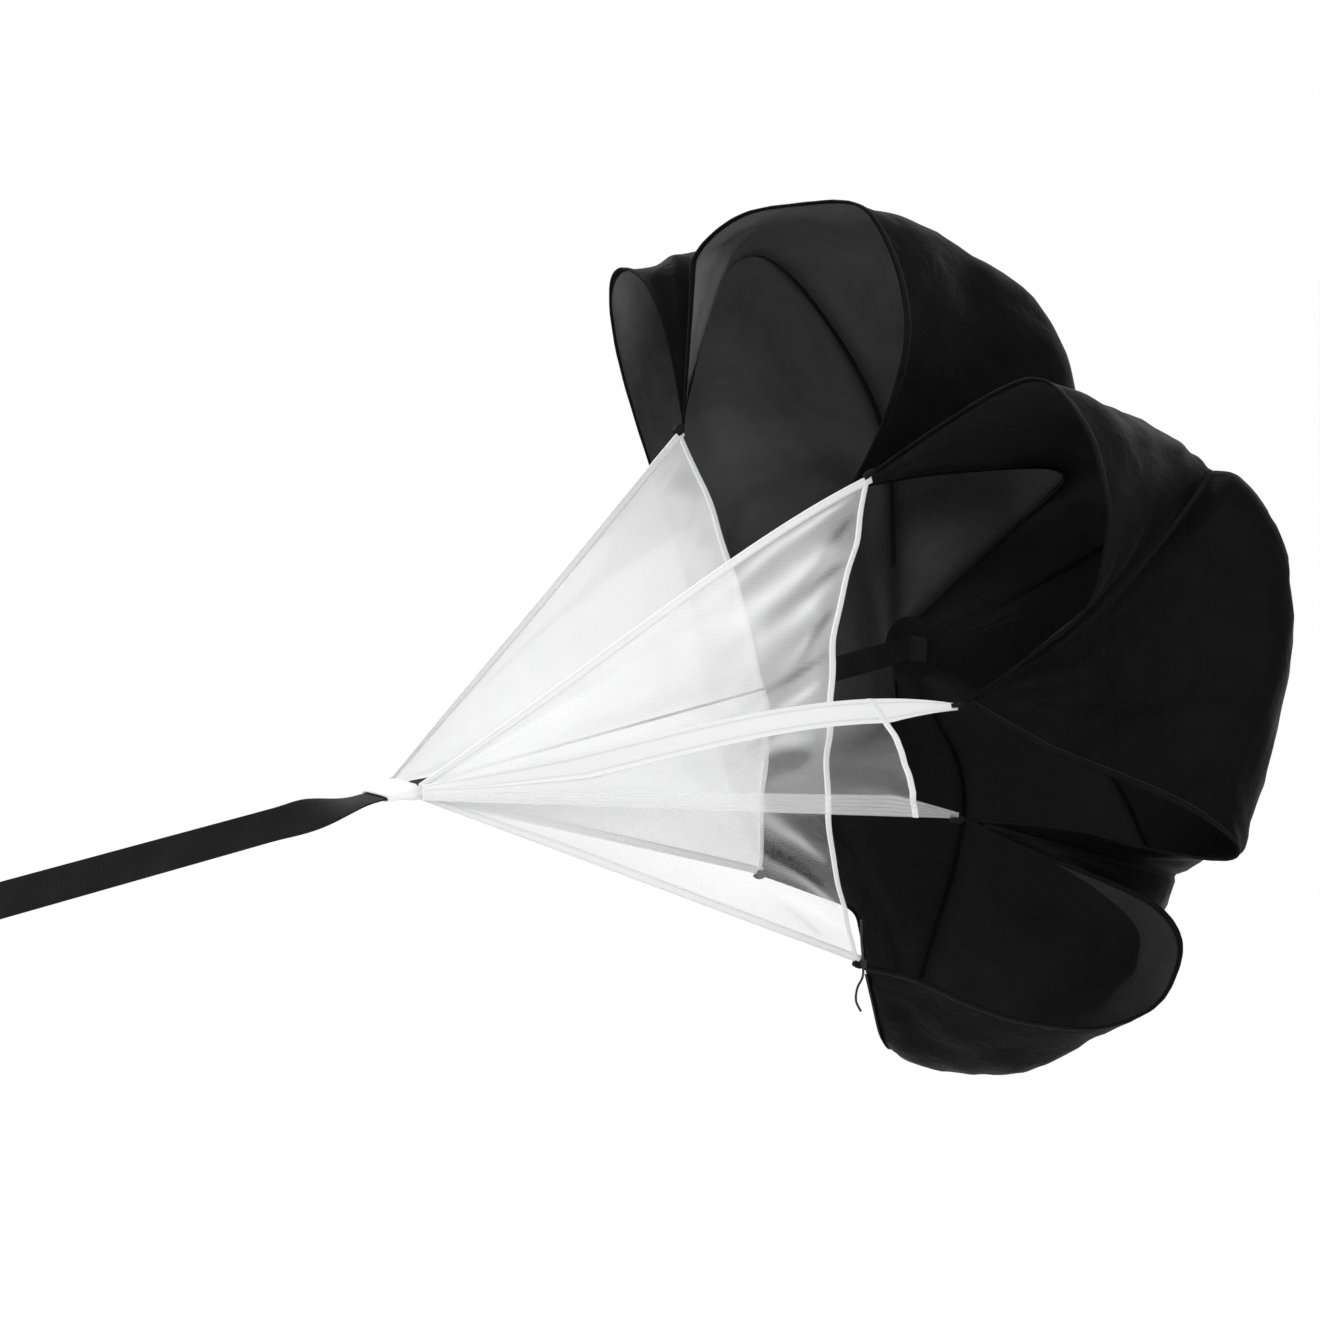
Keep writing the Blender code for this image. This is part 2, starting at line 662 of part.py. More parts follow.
def gore(name):
    """One mesh gore: its panel, two edge tapes and a hem tape."""
    tips, ends = gore_edges(name)
    length = np.linalg.norm((ends[0] + ends[1] - tips[0] - tips[1]) / 2)
    upper_stop, lower_stop = HEM_STOP_SHARES[name]
    hem_width = TAPE_WIDTH / length
    gap = GORE_GAP / length
    rows = np.linspace(0, 1, GORE_ROWS + 1)

    def hem_at(side):
        return 1 - upper_stop * (1 - side) - lower_stop * side

    def panel_sides(v):
        tape, seam = tape_shares(name, v)
        return tape + seam, 1 - tape - seam

    def panel_rows(side):
        return rows * (hem_at(side) - hem_width - gap)

    def hem_rows(side):
        return [hem_at(side) - hem_width, hem_at(side)]

    def edge_rows(side_of_gore):
        stop = hem_at(side_of_gore)
        shared = list(rows * (stop - hem_width - gap)) + [stop]
        return shared if stop == 1 else shared + [(stop + 1) / 2, 1.0]

    label = name.replace("_gore", "")
    gore_piece(name, name, panel_sides, panel_rows, GORE_COLUMNS, MESH_THICKNESS, "mesh")
    gore_piece(name, label + "_hem_tape", panel_sides, hem_rows, GORE_COLUMNS, TAPE_THICKNESS, "tape")
    gore_piece(name, label + "_upper_tape", lambda v: (0.0, tape_shares(name, v)[0]),
               lambda side: edge_rows(0.0), 1, TAPE_THICKNESS, "tape")
    gore_piece(name, label + "_lower_tape", lambda v: (1 - tape_shares(name, v)[0], 1.0),
               lambda side: edge_rows(1.0), 1, TAPE_THICKNESS, "tape")
    for end, corner in zip(ends, GORES[name]):
        corner_tab(corner, end)


def corner_tab(corner, mesh_end):
    """The short webbing tab between a canopy corner and its mesh corner."""
    target = sewn_point(corner)
    along = unit(target - mesh_end)
    radial = unit(np.array([0.0, target[1], target[2]]))
    wide = unit(np.cross(along, np.cross(radial, along)))
    thin = np.cross(along, wide)
    rings = []
    for at, share in zip((SEAM_GAP, TAB_LENGTH * 2 / 3, TAB_LENGTH), TAB_WIDTH_SHARES):
        rings.append(flat_ring(mesh_end + along * at, wide * TAB_WIDTH * share, thin * TAB_THICKNESS))
    ring_solid(corner + "_tab", rings, "webbing")


def flat_ring(centre, wide, thin):
    """The four corners of a flat section with the given whole width and thickness."""
    return np.array([centre + (wide + thin) / 2, centre + (thin - wide) / 2,
                     centre - (wide + thin) / 2, centre + (wide - thin) / 2])


def strap_path():
    """Centre points of the strap with the turn of its width, from the loop's end to the crown."""
    start = EYE_BAR + LOOP_LENGTH
    flat = (APEX - TWIST_LEAD - TWIST_LENGTH, APEX - TWIST_LEAD)
    lean = (APEX + CUFF_LENGTH + TWIST_LEAD, APEX + CUFF_LENGTH + TWIST_LEAD + LEAN_LENGTH)
    back = (CROWN - CROWN_TWIST_LEAD - INNER_TWIST_LENGTH, CROWN - CROWN_TWIST_LEAD)
    stops = [start, flat[0]]
    for run in (flat, (flat[1], lean[0]), lean, (lean[1], back[0]), back):
        steps = TWIST_STEPS if run in (flat, back) else LEAN_STEPS
        stops += list(np.linspace(*run, steps + 1)[1:])
    stops.append(CROWN - PATCH_THICKNESS / 2 - SEAM_GAP - STRAP_THICKNESS * 2)
    full = FLAT_TURN_DEG + LEAN_TURN_DEG
    turns = []
    for x in stops:
        turn = FLAT_TURN_DEG * eased(x, flat) + LEAN_TURN_DEG * eased(x, lean) - full * eased(x, back)
        turns.append(math.radians(turn))
    return stops, turns


def eased(x, span):
    """How far a turn has got at x, from 0 to 1 over the span, slow at both ends."""
    share = np.interp(x, span, (0.0, 1.0))
    return 3 * share**2 - 2 * share**3


def strap_ring(centre, wide, thin):
    return flat_ring(centre, wide * STRAP_WIDTH, thin * STRAP_THICKNESS)


def tow_strap():
    """One length of webbing: looped round the eye bar, turned flat in the cuff, and sewn to the crown."""
    up = np.array([0.0, 0.0, 1.0])
    rings = [strap_ring(*place) for place in loop_places(up)]
    stops, turns = strap_path()
    for x, turn in zip(stops, turns):
        wide = np.array([0.0, math.sin(turn), math.cos(turn)])
        thin = np.cross((1.0, 0.0, 0.0), wide)
        rings.append(strap_ring(np.array([x, 0.0, 0.0]), wide, thin))
    rings += [strap_ring(*place) for place in foot_places(up, stops[-1])]
    mesh = mesh_from("tow_strap", np.concatenate(rings), flat_faces(len(rings)))
    add_object("tow_strap", mesh, "webbing", smooth_angle=50)


def loop_places(up):
    """Rings of the sewn tail and the loop round the eye bar, tail first."""
    bend = EYE_ROD_RADIUS + STRAP_CLEARANCE + STRAP_THICKNESS / 2
    lift = STRAP_THICKNESS + SEAM_GAP
    places = []
    for x in (EYE_BAR + LOOP_LENGTH, EYE_BAR + LOOP_NECK_SHARE * bend):
        places.append((np.array([x, lift, 0.0]), up, np.array([0.0, 1.0, 0.0])))
    neck = math.radians(LOOP_NECK_DEG)
    for k in range(13):
        angle = neck + (2 * math.pi - 2 * neck) * k / 12
        out = np.array([math.cos(angle), math.sin(angle), 0.0])
        places.append((np.array([EYE_BAR, 0.0, 0.0]) + out * bend, up, out))
    places.append((np.array([EYE_BAR + LOOP_NECK_SHARE * bend, 0.0, 0.0]), up, np.array([0.0, -1.0, 0.0])))
    return places


def foot_places(up, x):
    """Rings of the end that turns flat against the crown patch."""
    places = []
    bend = FOOT_BEND_SHARE * STRAP_THICKNESS
    centre = np.array([x, -bend, 0.0])
    for k in range(1, 5):
        angle = math.pi / 2 * k / 4
        out = np.array([math.sin(angle), math.cos(angle), 0.0])
        places.append((centre + out * bend, up, -out))
    places.append((np.array([x + bend, -bend - STRAP_FOOT, 0.0]), up, np.array([-1.0, 0.0, 0.0])))
    return places


def gather_cuff():
    """The white cuff that gathers the three gore tips on the strap, slotted for the strap."""
    half = STRAP_WIDTH / 2 + STRAP_CLEARANCE
    low = half + CUFF_WALL
    far = half + GORE_STAND_OFF + CUFF_SPREAD
    near = far + NEAR_GORE_STEP
    sections = [(APEX, low, low, STRAP_THICKNESS / 2 + STRAP_CLEARANCE + CUFF_WALL)]
    middle, open_end = (GORE_TIP_WIDTH * share for share in CUFF_HEIGHT_SHARES)
    sections.append((APEX + CUFF_LENGTH / 2, (low + near) / 2, (low + far) / 2, middle))
    sections.append((APEX + CUFF_LENGTH, near, far, open_end))
    sides = 16
    outer = []
    for x, left, right, tall in sections:
        ring = []
        for k in range(sides):
            angle = 2 * math.pi * (k + 0.5) / sides
            reach = right if math.cos(angle) > 0 else left
            ring.append((x, reach * rounded(math.cos(angle)), tall * rounded(math.sin(angle))))
        outer.append(np.array(ring))
    cuff = ring_solid("gather_cuff", outer, "tape", smooth_angle=50)
    slot_half = STRAP_THICKNESS / 2 + STRAP_CLEARANCE
    low_corner = (APEX - CUT_OVERRUN, -half, -slot_half)
    high_corner = (APEX + CUFF_LENGTH + CUT_OVERRUN, half, slot_half)
    cutter = helper_object("cuff_slot_cutter", box_mesh("cuff_slot_cutter", low_corner, high_corner))
    boolean(cuff, cutter, "DIFFERENCE")


def rounded(value):
    """Squares off a circle's sine or cosine a little."""
    return math.copysign(abs(value) ** CUFF_SQUARE_SHARE, value)


def corner_lacing():
    """The thin cord that ties the lower middle corner, with its loose end."""
    path = even_curve([share_point(shares) for shares in LACE_SHARES], LACE_POINTS)
    curve = bpy.data.curves.new("corner_lacing", "CURVE")
    curve.dimensions = "3D"
    curve.bevel_depth = LACE_RADIUS
    curve.bevel_resolution = 2
    curve.use_fill_caps = True
    line = curve.splines.new("POLY")
    line.points.add(len(path) - 1)
    for point, place in zip(line.points, path):
        point.co = (place[0], place[1], place[2], 1.0)
    curve.materials.append(material("cord"))
    made = bpy.data.objects.new("corner_lacing", curve)
    bpy.context.scene.collection.objects.link(made)


def hook_path():
    """Centre line of the hook rod, from inside the barrel round to its tip on the barrel's axis."""
    points = [np.array([BOLT_NOSE + HOOK_REACH * a, 0.0, -HOOK_DROP * b]) for a, b in HOOK_SHARES]
    return even_curve(points, HOOK_POINTS)


def hook_body():
    """Barrel with its bore, thumb slot and swivel seat, and the hook that hangs from it."""
    edge = BARREL_RADIUS - BARREL_EDGE
    profile = [(BARREL_FRONT, 0.0), (BARREL_FRONT, edge), (BARREL_FRONT + BARREL_EDGE, BARREL_RADIUS)]
    profile += [(BARREL_BACK - BARREL_EDGE, BARREL_RADIUS), (BARREL_BACK, edge), (BARREL_BACK, 0.0)]
    barrel = add_object("hook_body", turned("hook_body", profile, "steel"), "steel", smooth_angle=35)
    rod = helper_object("hook_rod_shape", hook_rod_mesh())
    boolean(barrel, rod, "UNION")
    bore = [(BARREL_FRONT - CUT_OVERRUN, 0.0), (BARREL_FRONT - CUT_OVERRUN, BORE_RADIUS)]
    bore += [(bore_end(), BORE_RADIUS), (bore_end(), 0.0)]
    boolean(barrel, helper_object("bore_cutter", turned("bore_cutter", bore, "steel", 16)), "DIFFERENCE")
    slot = box_mesh("slot_cutter", *slot_box())
    boolean(barrel, helper_object("slot_cutter", slot), "DIFFERENCE")
    boolean(barrel, helper_object("swivel_cutter", swivel_seat_mesh()), "DIFFERENCE")


def hook_rod_mesh():
    rings = tube_rings(hook_path(), HOOK_ROD_RADIUS, 12)
    return mesh_from("hook_rod_shape", np.concatenate(rings), ring_faces(len(rings), len(rings[0])))


def bore_end():
    return BOLT_NOSE + BOLT_LENGTH + BOLT_TRAVEL + BORE_SPARE


def stud_place():
    """Where the thumb stud stands on the bolt."""
    return BOLT_NOSE + BOLT_LENGTH - STUD_BACK_SHARE * STUD_RADIUS


def slot_box():
    half = STUD_RADIUS + SLOT_CLEARANCE
    low = (stud_place() - half, -half, 0.0)
    high = (stud_place() + BOLT_TRAVEL + half, half, 2 * BARREL_RADIUS)
    return low, high


def swivel_seat_mesh():
    back = BARREL_BACK + CUT_OVERRUN
    seat_back = BARREL_BACK - SWIVEL_WALL
    seat_front = seat_back - SWIVEL_HEAD_LENGTH - 2 * SWIVEL_CLEARANCE
    wide = SWIVEL_HEAD_RADIUS + SWIVEL_CLEARANCE
    narrow = SWIVEL_RADIUS + SWIVEL_CLEARANCE
    profile = [(seat_front, 0.0), (seat_front, wide), (seat_back, wide)]
    profile += [(seat_back, narrow), (back, narrow), (back, 0.0)]
    return turned("swivel_cutter", profile, "steel", 16)


def spring_bolt():
    """The sliding bolt that closes the hook."""
    start = BOLT_NOSE + SEAM_GAP
    end = BOLT_NOSE + BOLT_LENGTH
    flat = BOLT_RADIUS * BOLT_EDGE_SHARE
    profile = [(start, 0.0), (start, BOLT_RADIUS - flat), (start + flat, BOLT_RADIUS)]
    profile += [(end - flat, BOLT_RADIUS), (end, BOLT_RADIUS - flat), (end, 0.0)]
    add_object("spring_bolt", turned("spring_bolt", profile, "steel", 16), "steel", smooth_angle=35)


def thumb_stud():
    """The stud under the thumb, seated on the bolt through the barrel's slot."""
    foot = BOLT_RADIUS + SEAM_GAP
    neck = BARREL_RADIUS + STUD_RISE - STUD_HEAD_HEIGHT
    top = BARREL_RADIUS + STUD_RISE
    edge = STUD_HEAD_HEIGHT * STUD_EDGE_SHARE
    profile = [(foot, 0.0), (foot, STUD_RADIUS), (neck, STUD_RADIUS), (neck + edge, STUD_HEAD_RADIUS)]
    profile += [(top - edge, STUD_HEAD_RADIUS), (top, STUD_HEAD_RADIUS - edge), (top, 0.0)]
    mesh = turned("thumb_stud", profile, "steel", 16)
    mesh.transform(Matrix.Translation((stud_place(), 0.0, 0.0)) @ Matrix.Rotation(-math.pi / 2, 4, "Y"))
    add_object("thumb_stud", mesh, "steel", smooth_angle=35)


def strap_eye():
    """The square eye that holds the strap, with the stem and head that swivel in the barrel."""
    half_wide = STRAP_WIDTH / 2 + EYE_SIDE_ROOM + EYE_ROD_RADIUS
    front = EYE_BAR - EYE_DEPTH - EYE_ROD_RADIUS
    corners = [(front, -half_wide), (EYE_BAR, -half_wide), (EYE_BAR, half_wide), (front, half_wide)]
    path = []
    for k, (x, z) in enumerate(corners):
        before, after = corners[k - 1], corners[(k + 1) % 4]
        path += corner_arc((x, z), before, after)
    path = np.array([(x, 0.0, z) for x, z in path])
    eye = add_object("strap_eye", eye_loop_mesh(path), "steel", smooth_angle=40)
    eye.data.transform(Matrix.Translation((-EYE_BAR, 0.0, 0.0)))
    eye.location = (EYE_BAR, 0.0, 0.0)
    boolean(eye, helper_object("eye_stem_shape", eye_stem_mesh(front)), "UNION")


def corner_arc(at, before, after):
    """Points of a round corner between two straight runs."""
    at, before, after = (np.array(p) for p in (at, before, after))
    radius = EYE_CORNER_RADIUS
    towards, onwards = unit(before - at), unit(after - at)
    centre = at + (towards + onwards) * radius
    points = []
    for k in range(5):
        angle = math.pi / 2 * k / 4
        points.append(centre - onwards * radius * math.cos(angle) - towards * radius * math.sin(angle))
    return points


def eye_loop_mesh(path):
    """A round rod closed on itself in the plane of the path."""
    count = len(path)
    sides = 10
    rings = []
    for k in range(count):
        tangent = unit(path[(k + 1) % count] - path[k - 1])
        level = np.array([0.0, 1.0, 0.0])
        other = np.cross(tangent, level)
        turns = [2 * math.pi * (m + 0.5) / sides for m in range(sides)]
        ring = [path[k] + EYE_ROD_RADIUS * (math.cos(a) * level + math.sin(a) * other) for a in turns]
        rings.append(np.array(ring))
    faces = []
    for k in range(count):
        n = (k + 1) % count
        for m in range(sides):
            o = (m + 1) % sides
            faces.append((k * sides + m, k * sides + o, n * sides + o, n * sides + m))
    return mesh_from("strap_eye", np.concatenate(rings), faces)


def eye_stem_mesh(front):
    head_back = BARREL_BACK - SWIVEL_WALL - SWIVEL_CLEARANCE
    head_front = head_back - SWIVEL_HEAD_LENGTH
    collar = BARREL_BACK + SWIVEL_CLEARANCE
    profile = [(head_front, 0.0), (head_front, SWIVEL_HEAD_RADIUS), (head_back, SWIVEL_HEAD_RADIUS)]
    profile += [(head_back, SWIVEL_RADIUS), (collar, SWIVEL_RADIUS), (collar, SWIVEL_HEAD_RADIUS)]
    profile += [(front, SWIVEL_HEAD_RADIUS), (front, 0.0)]
    return turned("eye_stem_shape", profile, "steel", 16)


def snap_hook():
    hook_body()
    spring_bolt()
    thumb_stud()
    strap_eye()


def main():
    clear_scene()
    canopy()
    for name in GORES:
        gore(name)
    gather_cuff()
    tow_strap()
    corner_lacing()
    snap_hook()


main()
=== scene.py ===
"""Looks of the speed parachute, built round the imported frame.

All places are in metres in the part's frame: +X along the tow line, +Z up, +Y away from the camera.
"""

import sys
import math
import random

import bpy
import numpy as np
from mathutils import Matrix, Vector, noise


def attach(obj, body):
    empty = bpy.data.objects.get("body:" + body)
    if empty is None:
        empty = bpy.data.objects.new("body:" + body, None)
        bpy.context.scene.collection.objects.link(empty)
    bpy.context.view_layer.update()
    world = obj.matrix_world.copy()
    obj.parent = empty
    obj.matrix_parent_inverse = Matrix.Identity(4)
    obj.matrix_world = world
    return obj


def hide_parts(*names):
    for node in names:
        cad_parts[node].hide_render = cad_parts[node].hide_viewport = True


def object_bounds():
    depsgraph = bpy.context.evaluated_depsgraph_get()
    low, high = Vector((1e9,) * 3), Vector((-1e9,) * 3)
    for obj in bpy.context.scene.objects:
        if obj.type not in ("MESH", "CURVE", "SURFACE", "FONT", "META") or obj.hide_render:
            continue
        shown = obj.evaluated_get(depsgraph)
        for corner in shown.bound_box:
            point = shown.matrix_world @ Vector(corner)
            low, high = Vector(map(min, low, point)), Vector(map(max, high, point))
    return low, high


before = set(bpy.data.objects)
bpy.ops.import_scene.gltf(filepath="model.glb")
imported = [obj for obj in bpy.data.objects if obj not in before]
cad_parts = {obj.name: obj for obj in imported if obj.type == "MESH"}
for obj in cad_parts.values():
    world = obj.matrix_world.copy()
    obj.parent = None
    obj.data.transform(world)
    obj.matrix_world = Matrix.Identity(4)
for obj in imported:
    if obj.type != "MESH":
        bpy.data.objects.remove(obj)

CAD_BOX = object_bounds()

# Places and sizes that the solids have too
EYE_BAR = 0.0843
EYE_BAR_RADIUS = 0.0023
APEX = 0.5493
MOUTH = 1.2943
CROWN = 1.4163
MOUTH_RADIUS = 0.5
CROWN_RADIUS = 0.036
CONE_LENGTH = 0.745
CUFF_LENGTH = 0.036
GORE_TIP_WIDTH = 0.014
GORE_STAND_OFF = 0.0035
NEAR_GORE_STEP = 0.005
TAPE_WIDTH = 0.0095
TAPE_TIP_WIDTH = 0.0045
FOLD_WIDTH = 0.027
FOLD_TIP_WIDTH = 0.007
FOLD_TAPER_SHARE = 0.84
TAB_LENGTH = 0.009
TAB_STAND_OFF = 0.0026
STRAP_WIDTH = 0.03
STRAP_THICKNESS = 0.0018
BINDING_WIDTH = 0.0085
LOOP_LENGTH = 0.05
FOOT_LENGTH = 0.0204
LACE_RADIUS = 0.0014
PATCH_THICKNESS = 0.0024
GAP = 0.0003
LOOP_GAP = 0.0004
LOBE_COLUMNS = 22
LOBE_LEVELS = 11
SEAM_SPANS = 4
RIM_TURN_SHARE = 0.45
HEM_PULL_POWER = 1.6

# How finely the smooth shapes are cut up here
FINE = 4
CURVE_STEPS = 24
GORE_COLUMNS = 121
GORE_LEVELS = 101

# Canopy corners as (across, up) shares of the mouth radius, round the mouth
CORNER_SHARES = {
    "top_far": (0.508, 0.514),
    "top_mid": (0.018, 0.402),
    "top_near": (-0.304, -0.046),
    "low_near": (-0.311, -0.312),
    "low_mid": (-0.048, -0.718),
    "low_far": (0.248, -0.558),
}
CORNERS = list(CORNER_SHARES)

# Where the mesh is sewn on, as (along, across, up) shares, if that is not the corner itself
SEWN_SHARES = {"top_mid": (0.0114, -0.045, 0.449)}

# Rim arches as (along, across, up) shares of the mouth radius, from each corner to the next
RIM_SHARES = {
    "far_top_lobe": [
        (0.05, 0.528, 0.802), (0.07, 0.53, 0.914), (0.09, 0.422, 1.002), (0.1, 0.27, 1.032),
        (0.1, 0.09, 1.036), (0.1, 0.004, 0.956), (0.09, -0.056, 0.826), (0.07, -0.07, 0.7),
        (0.04, -0.036, 0.545),
    ],
    "near_top_lobe": [
        (0.03, -0.148, 0.526), (0.05, -0.334, 0.644), (0.08, -0.43, 0.667), (0.1, -0.52, 0.572),
        (0.1, -0.572, 0.446), (0.09, -0.588, 0.344), (0.07, -0.56, 0.188), (0.04, -0.43, 0.062),
    ],
    "near_side_lobe": [
        (0.05, -0.368, -0.092), (0.09, -0.478, -0.148), (0.13, -0.64, -0.196), (0.16, -0.794, -0.248),
        (0.16, -0.892, -0.302), (0.14, -0.872, -0.33), (0.11, -0.73, -0.33), (0.07, -0.535, -0.308),
    ],
    "near_low_lobe": [
        (0.03, -0.455, -0.362), (0.06, -0.6, -0.396), (0.08, -0.74, -0.436), (0.1, -0.798, -0.5),
        (0.1, -0.8, -0.58), (0.1, -0.748, -0.68), (0.09, -0.62, -0.756), (0.07, -0.45, -0.778),
        (0.05, -0.31, -0.762), (0.03, -0.17, -0.728),
    ],
    "far_low_lobe": [
        (0.03, -0.014, -0.65), (0.04, 0.024, -0.604), (0.02, 0.138, -0.578),
    ],
    "far_side_lobe": [
        (0.04, 0.368, -0.404), (0.07, 0.476, -0.174), (0.12, 0.6, 0.13), (0.15, 0.73, 0.37),
        (0.16, 0.846, 0.632), (0.16, 0.88, 0.806), (0.13, 0.82, 0.872), (0.1, 0.71, 0.84),
        (0.06, 0.61, 0.71),
    ],
}
LOBES = list(RIM_SHARES)

# Seams behind each corner as (along, across, up) shares of the mouth radius
SEAM_SHARES = {
    "top_far": [(0.24, 0.575, 0.86), (0.5, 0.57, 0.85), (0.61, 0.35, 0.47)],
    "top_mid": [(0.24, -0.08, 0.42), (0.5, -0.24, 0.41), (0.56, -0.07, 0.25)],
    "top_near": [(0.24, -0.474, 0.126), (0.54, -0.6, 0.44), (0.6, -0.35, 0.26)],
    "low_near": [(0.24, -0.68, -0.42), (0.54, -0.49, -0.48), (0.58, -0.3, -0.27)],
    "low_mid": [(0.2, 0.01, -1.0), (0.5, 0.1, -0.86), (0.59, 0.06, -0.45)],
    "low_far": [(0.24, 0.36, -0.5), (0.54, 0.5, -0.5), (0.6, 0.3, -0.29)],
}

# The crest of each lobe behind its rim, in the same shares
CREST_SHARES = {
    "far_top_lobe": [(0.28, 0.04, 0.99), (0.56, -0.08, 0.81), (0.63, 0.02, 0.45)],
    "near_top_lobe": [(0.26, -0.52, 0.57), (0.56, -0.45, 0.5), (0.6, -0.25, 0.31)],
    "near_side_lobe": [(0.26, -0.85, -0.21), (0.56, -0.8, 0.11), (0.62, -0.43, 0.06)],
    "near_low_lobe": [(0.26, -0.44, -0.89), (0.56, -0.32, -0.78), (0.61, -0.19, -0.44)],
    "far_low_lobe": [(0.34, 0.17, -0.66), (0.56, 0.33, -0.72), (0.61, 0.19, -0.41)],
    "far_side_lobe": [(0.26, 0.85, 0.58), (0.56, 0.83, 0.5), (0.62, 0.47, 0.25)],
}

# How the rim's own shape fades from level to level
RIM_FADE_SHARES = [1.0, 0.35, 0.08, 0.0, 0.0]
FAR_SIDE_FADE_SHARES = [1.0, 0.5, 0.15, 0.0, 0.0]

# How square each lobe's arch is: a low share bulges near the seams too
ARCH_SHARES = dict(zip(LOBES, (0.95, 0.95, 0.65, 0.7, 0.9, 0.8)))
CROWN_ANGLES_DEG = [42, 96, 158, 212, 262, 318, 402]


def by_gore(far, mid, near):
    return {"far_gore": far, "mid_gore": mid, "near_gore": near}


# Mesh gores: the two corners each holds, and how wide it is there when spread flat
GORES = by_gore(("top_far", "low_far"), ("top_mid", "low_mid"), ("top_near", "low_near"))
GORE_REACH = by_gore(0.5, 0.5, 0.13)

# As shares of the cone length: each hem's pull (along, across), the gore's swell, its upper edge's lift
HEM_PULL_SHARES = by_gore((-0.04, -0.11), (-0.15, -0.042), (0.0, -0.01))
SWELL_SHARES = by_gore(0.027, -0.007, -0.027)
LIFT_SHARES = by_gore(0.0, 0.016, 0.032)

# How far short of its upper and lower corner each hem stops, as shares of the gore's length
HEM_STOP_SHARES = by_gore((0.0, 0.0), (0.0, 0.0), (0.19, 0.088))

# The lacing as (along, across, up) shares of the mouth radius, from the hem to its loose end
LACE_SHARES = [
    (-0.06, -0.078, -0.585), (-0.05, -0.073, -0.64), (-0.03, -0.063, -0.68), (-0.016, -0.055, -0.706),
    (-0.014, -0.054, -0.74), (-0.024, -0.046, -0.768), (-0.034, -0.05, -0.796), (-0.036, -0.066, -0.818),
]

# The points round a flat section with rounded edges, as shares of its half width and half thickness
SECTION_SHARES = [
    (1.0, 0.0), (0.97, 0.7), (0.88, 1.0), (0.45, 1.0), (0.0, 1.0), (-0.45, 1.0), (-0.88, 1.0),
    (-0.97, 0.7), (-1.0, 0.0), (-0.97, -0.7), (-0.88, -1.0), (-0.45, -1.0), (0.0, -1.0), (0.45, -1.0),
    (0.88, -1.0), (0.97, -0.7),
]


def spot(x, y=0.0, z=0.0):
    return np.array([x, y, z])


ACROSS = spot(0.0, 1.0)
UP = spot(0.0, 0.0, 1.0)


def unit(vector):
    length = np.linalg.norm(vector)
    return vector / length if length else vector


def mixed(first, last, part):
    return first * (1 - part) + last * part


def hump(x, centre, width):
    """One at the centre, and less the further x is from it."""
    return np.exp(-(((x - centre) / width) ** 2))


def grown(distance, span):
    """Nought at a line, and nearly one a few spans away from it."""
    return 1 - math.exp(-distance / span)


def run_lengths(places, axis=0):
    """How far along a path, or along one axis of a grid, each of its points lies."""
    steps = np.linalg.norm(np.diff(np.asarray(places), axis=axis), axis=-1)
    start = np.zeros_like(np.take(steps, [0], axis=axis))
    return np.concatenate([start, np.cumsum(steps, axis=axis)], axis=axis)


def smooth_point(points, at):
    """The point at parameter `at` on a smooth curve that meets point n at parameter n."""
    last = len(points) - 1
    index = min(int(at), last - 1)
    part = at - index
    p1, p2 = points[index], points[index + 1]
    p0 = points[index - 1] if index > 0 else 2 * p1 - p2
    p3 = points[index + 2] if index + 2 <= last else 2 * p2 - p1
    b = p2 - p0
    c = 2 * p0 - 5 * p1 + 4 * p2 - p3
    d = 3 * p1 - p0 - 3 * p2 + p3
    return (2 * p1 + b * part + c * part**2 + d * part**3) / 2


def even_curve(points, count, turn_share=0.0):
    """count + 1 points along the smooth curve through the given points, closer together where it turns."""
    spans = CURVE_STEPS * (len(points) - 1)
    dense = np.array([smooth_point(points, i / CURVE_STEPS) for i in range(spans + 1)])
    steps = np.diff(dense, axis=0)
    lengths = np.linalg.norm(steps, axis=1)
    ways = steps / lengths[:, None]
    bends = np.arccos(np.clip(np.sum(ways[1:] * ways[:-1], axis=1), -1.0, 1.0))
    bends = np.concatenate([bends, [0.0]])
    weights = (1 - turn_share) * lengths / lengths.sum() + turn_share * bends / bends.sum()
    reach = np.concatenate([[0.0], np.cumsum(weights)])
    wanted = np.linspace(0.0, reach[-1], count + 1)
    return np.array([[np.interp(w, reach, dense[:, k]) for k in range(3)] for w in wanted])


def refined(grid, times):
    """The grid with `times` steps for each of its own, on smooth curves through its points."""
    wide, deep = grid.shape[:2]
    rows = np.array([smooth_point(grid, i / times) for i in range(times * (wide - 1) + 1)]).swapaxes(0, 1)
    full = np.array([smooth_point(rows, j / times) for j in range(times * (deep - 1) + 1)])
    return full.swapaxes(0, 1)


def grid_normals(grid):
    normals = np.cross(np.gradient(grid, axis=0), np.gradient(grid, axis=1))
    return normals / np.maximum(np.linalg.norm(normals, axis=2, keepdims=True), sys.float_info.min)


def share_point(shares):
    """A place from its (along, across, up) shares of the mouth radius, counted from the mouth's middle."""
    along, across, up = shares
    return spot(MOUTH + along * MOUTH_RADIUS, across * MOUTH_RADIUS, up * MOUTH_RADIUS)


def share_points(table):
    return [share_point(shares) for shares in table]


def corner_point(corner):
    return share_point((0.0, *CORNER_SHARES[corner]))


def sewn_point(corner):
    return share_point(SEWN_SHARES[corner]) if corner in SEWN_SHARES else corner_point(corner)


def crown_point(angle_deg):
    angle = math.radians(angle_deg)
    return spot(CROWN, CROWN_RADIUS * math.cos(angle), CROWN_RADIUS * math.sin(angle))


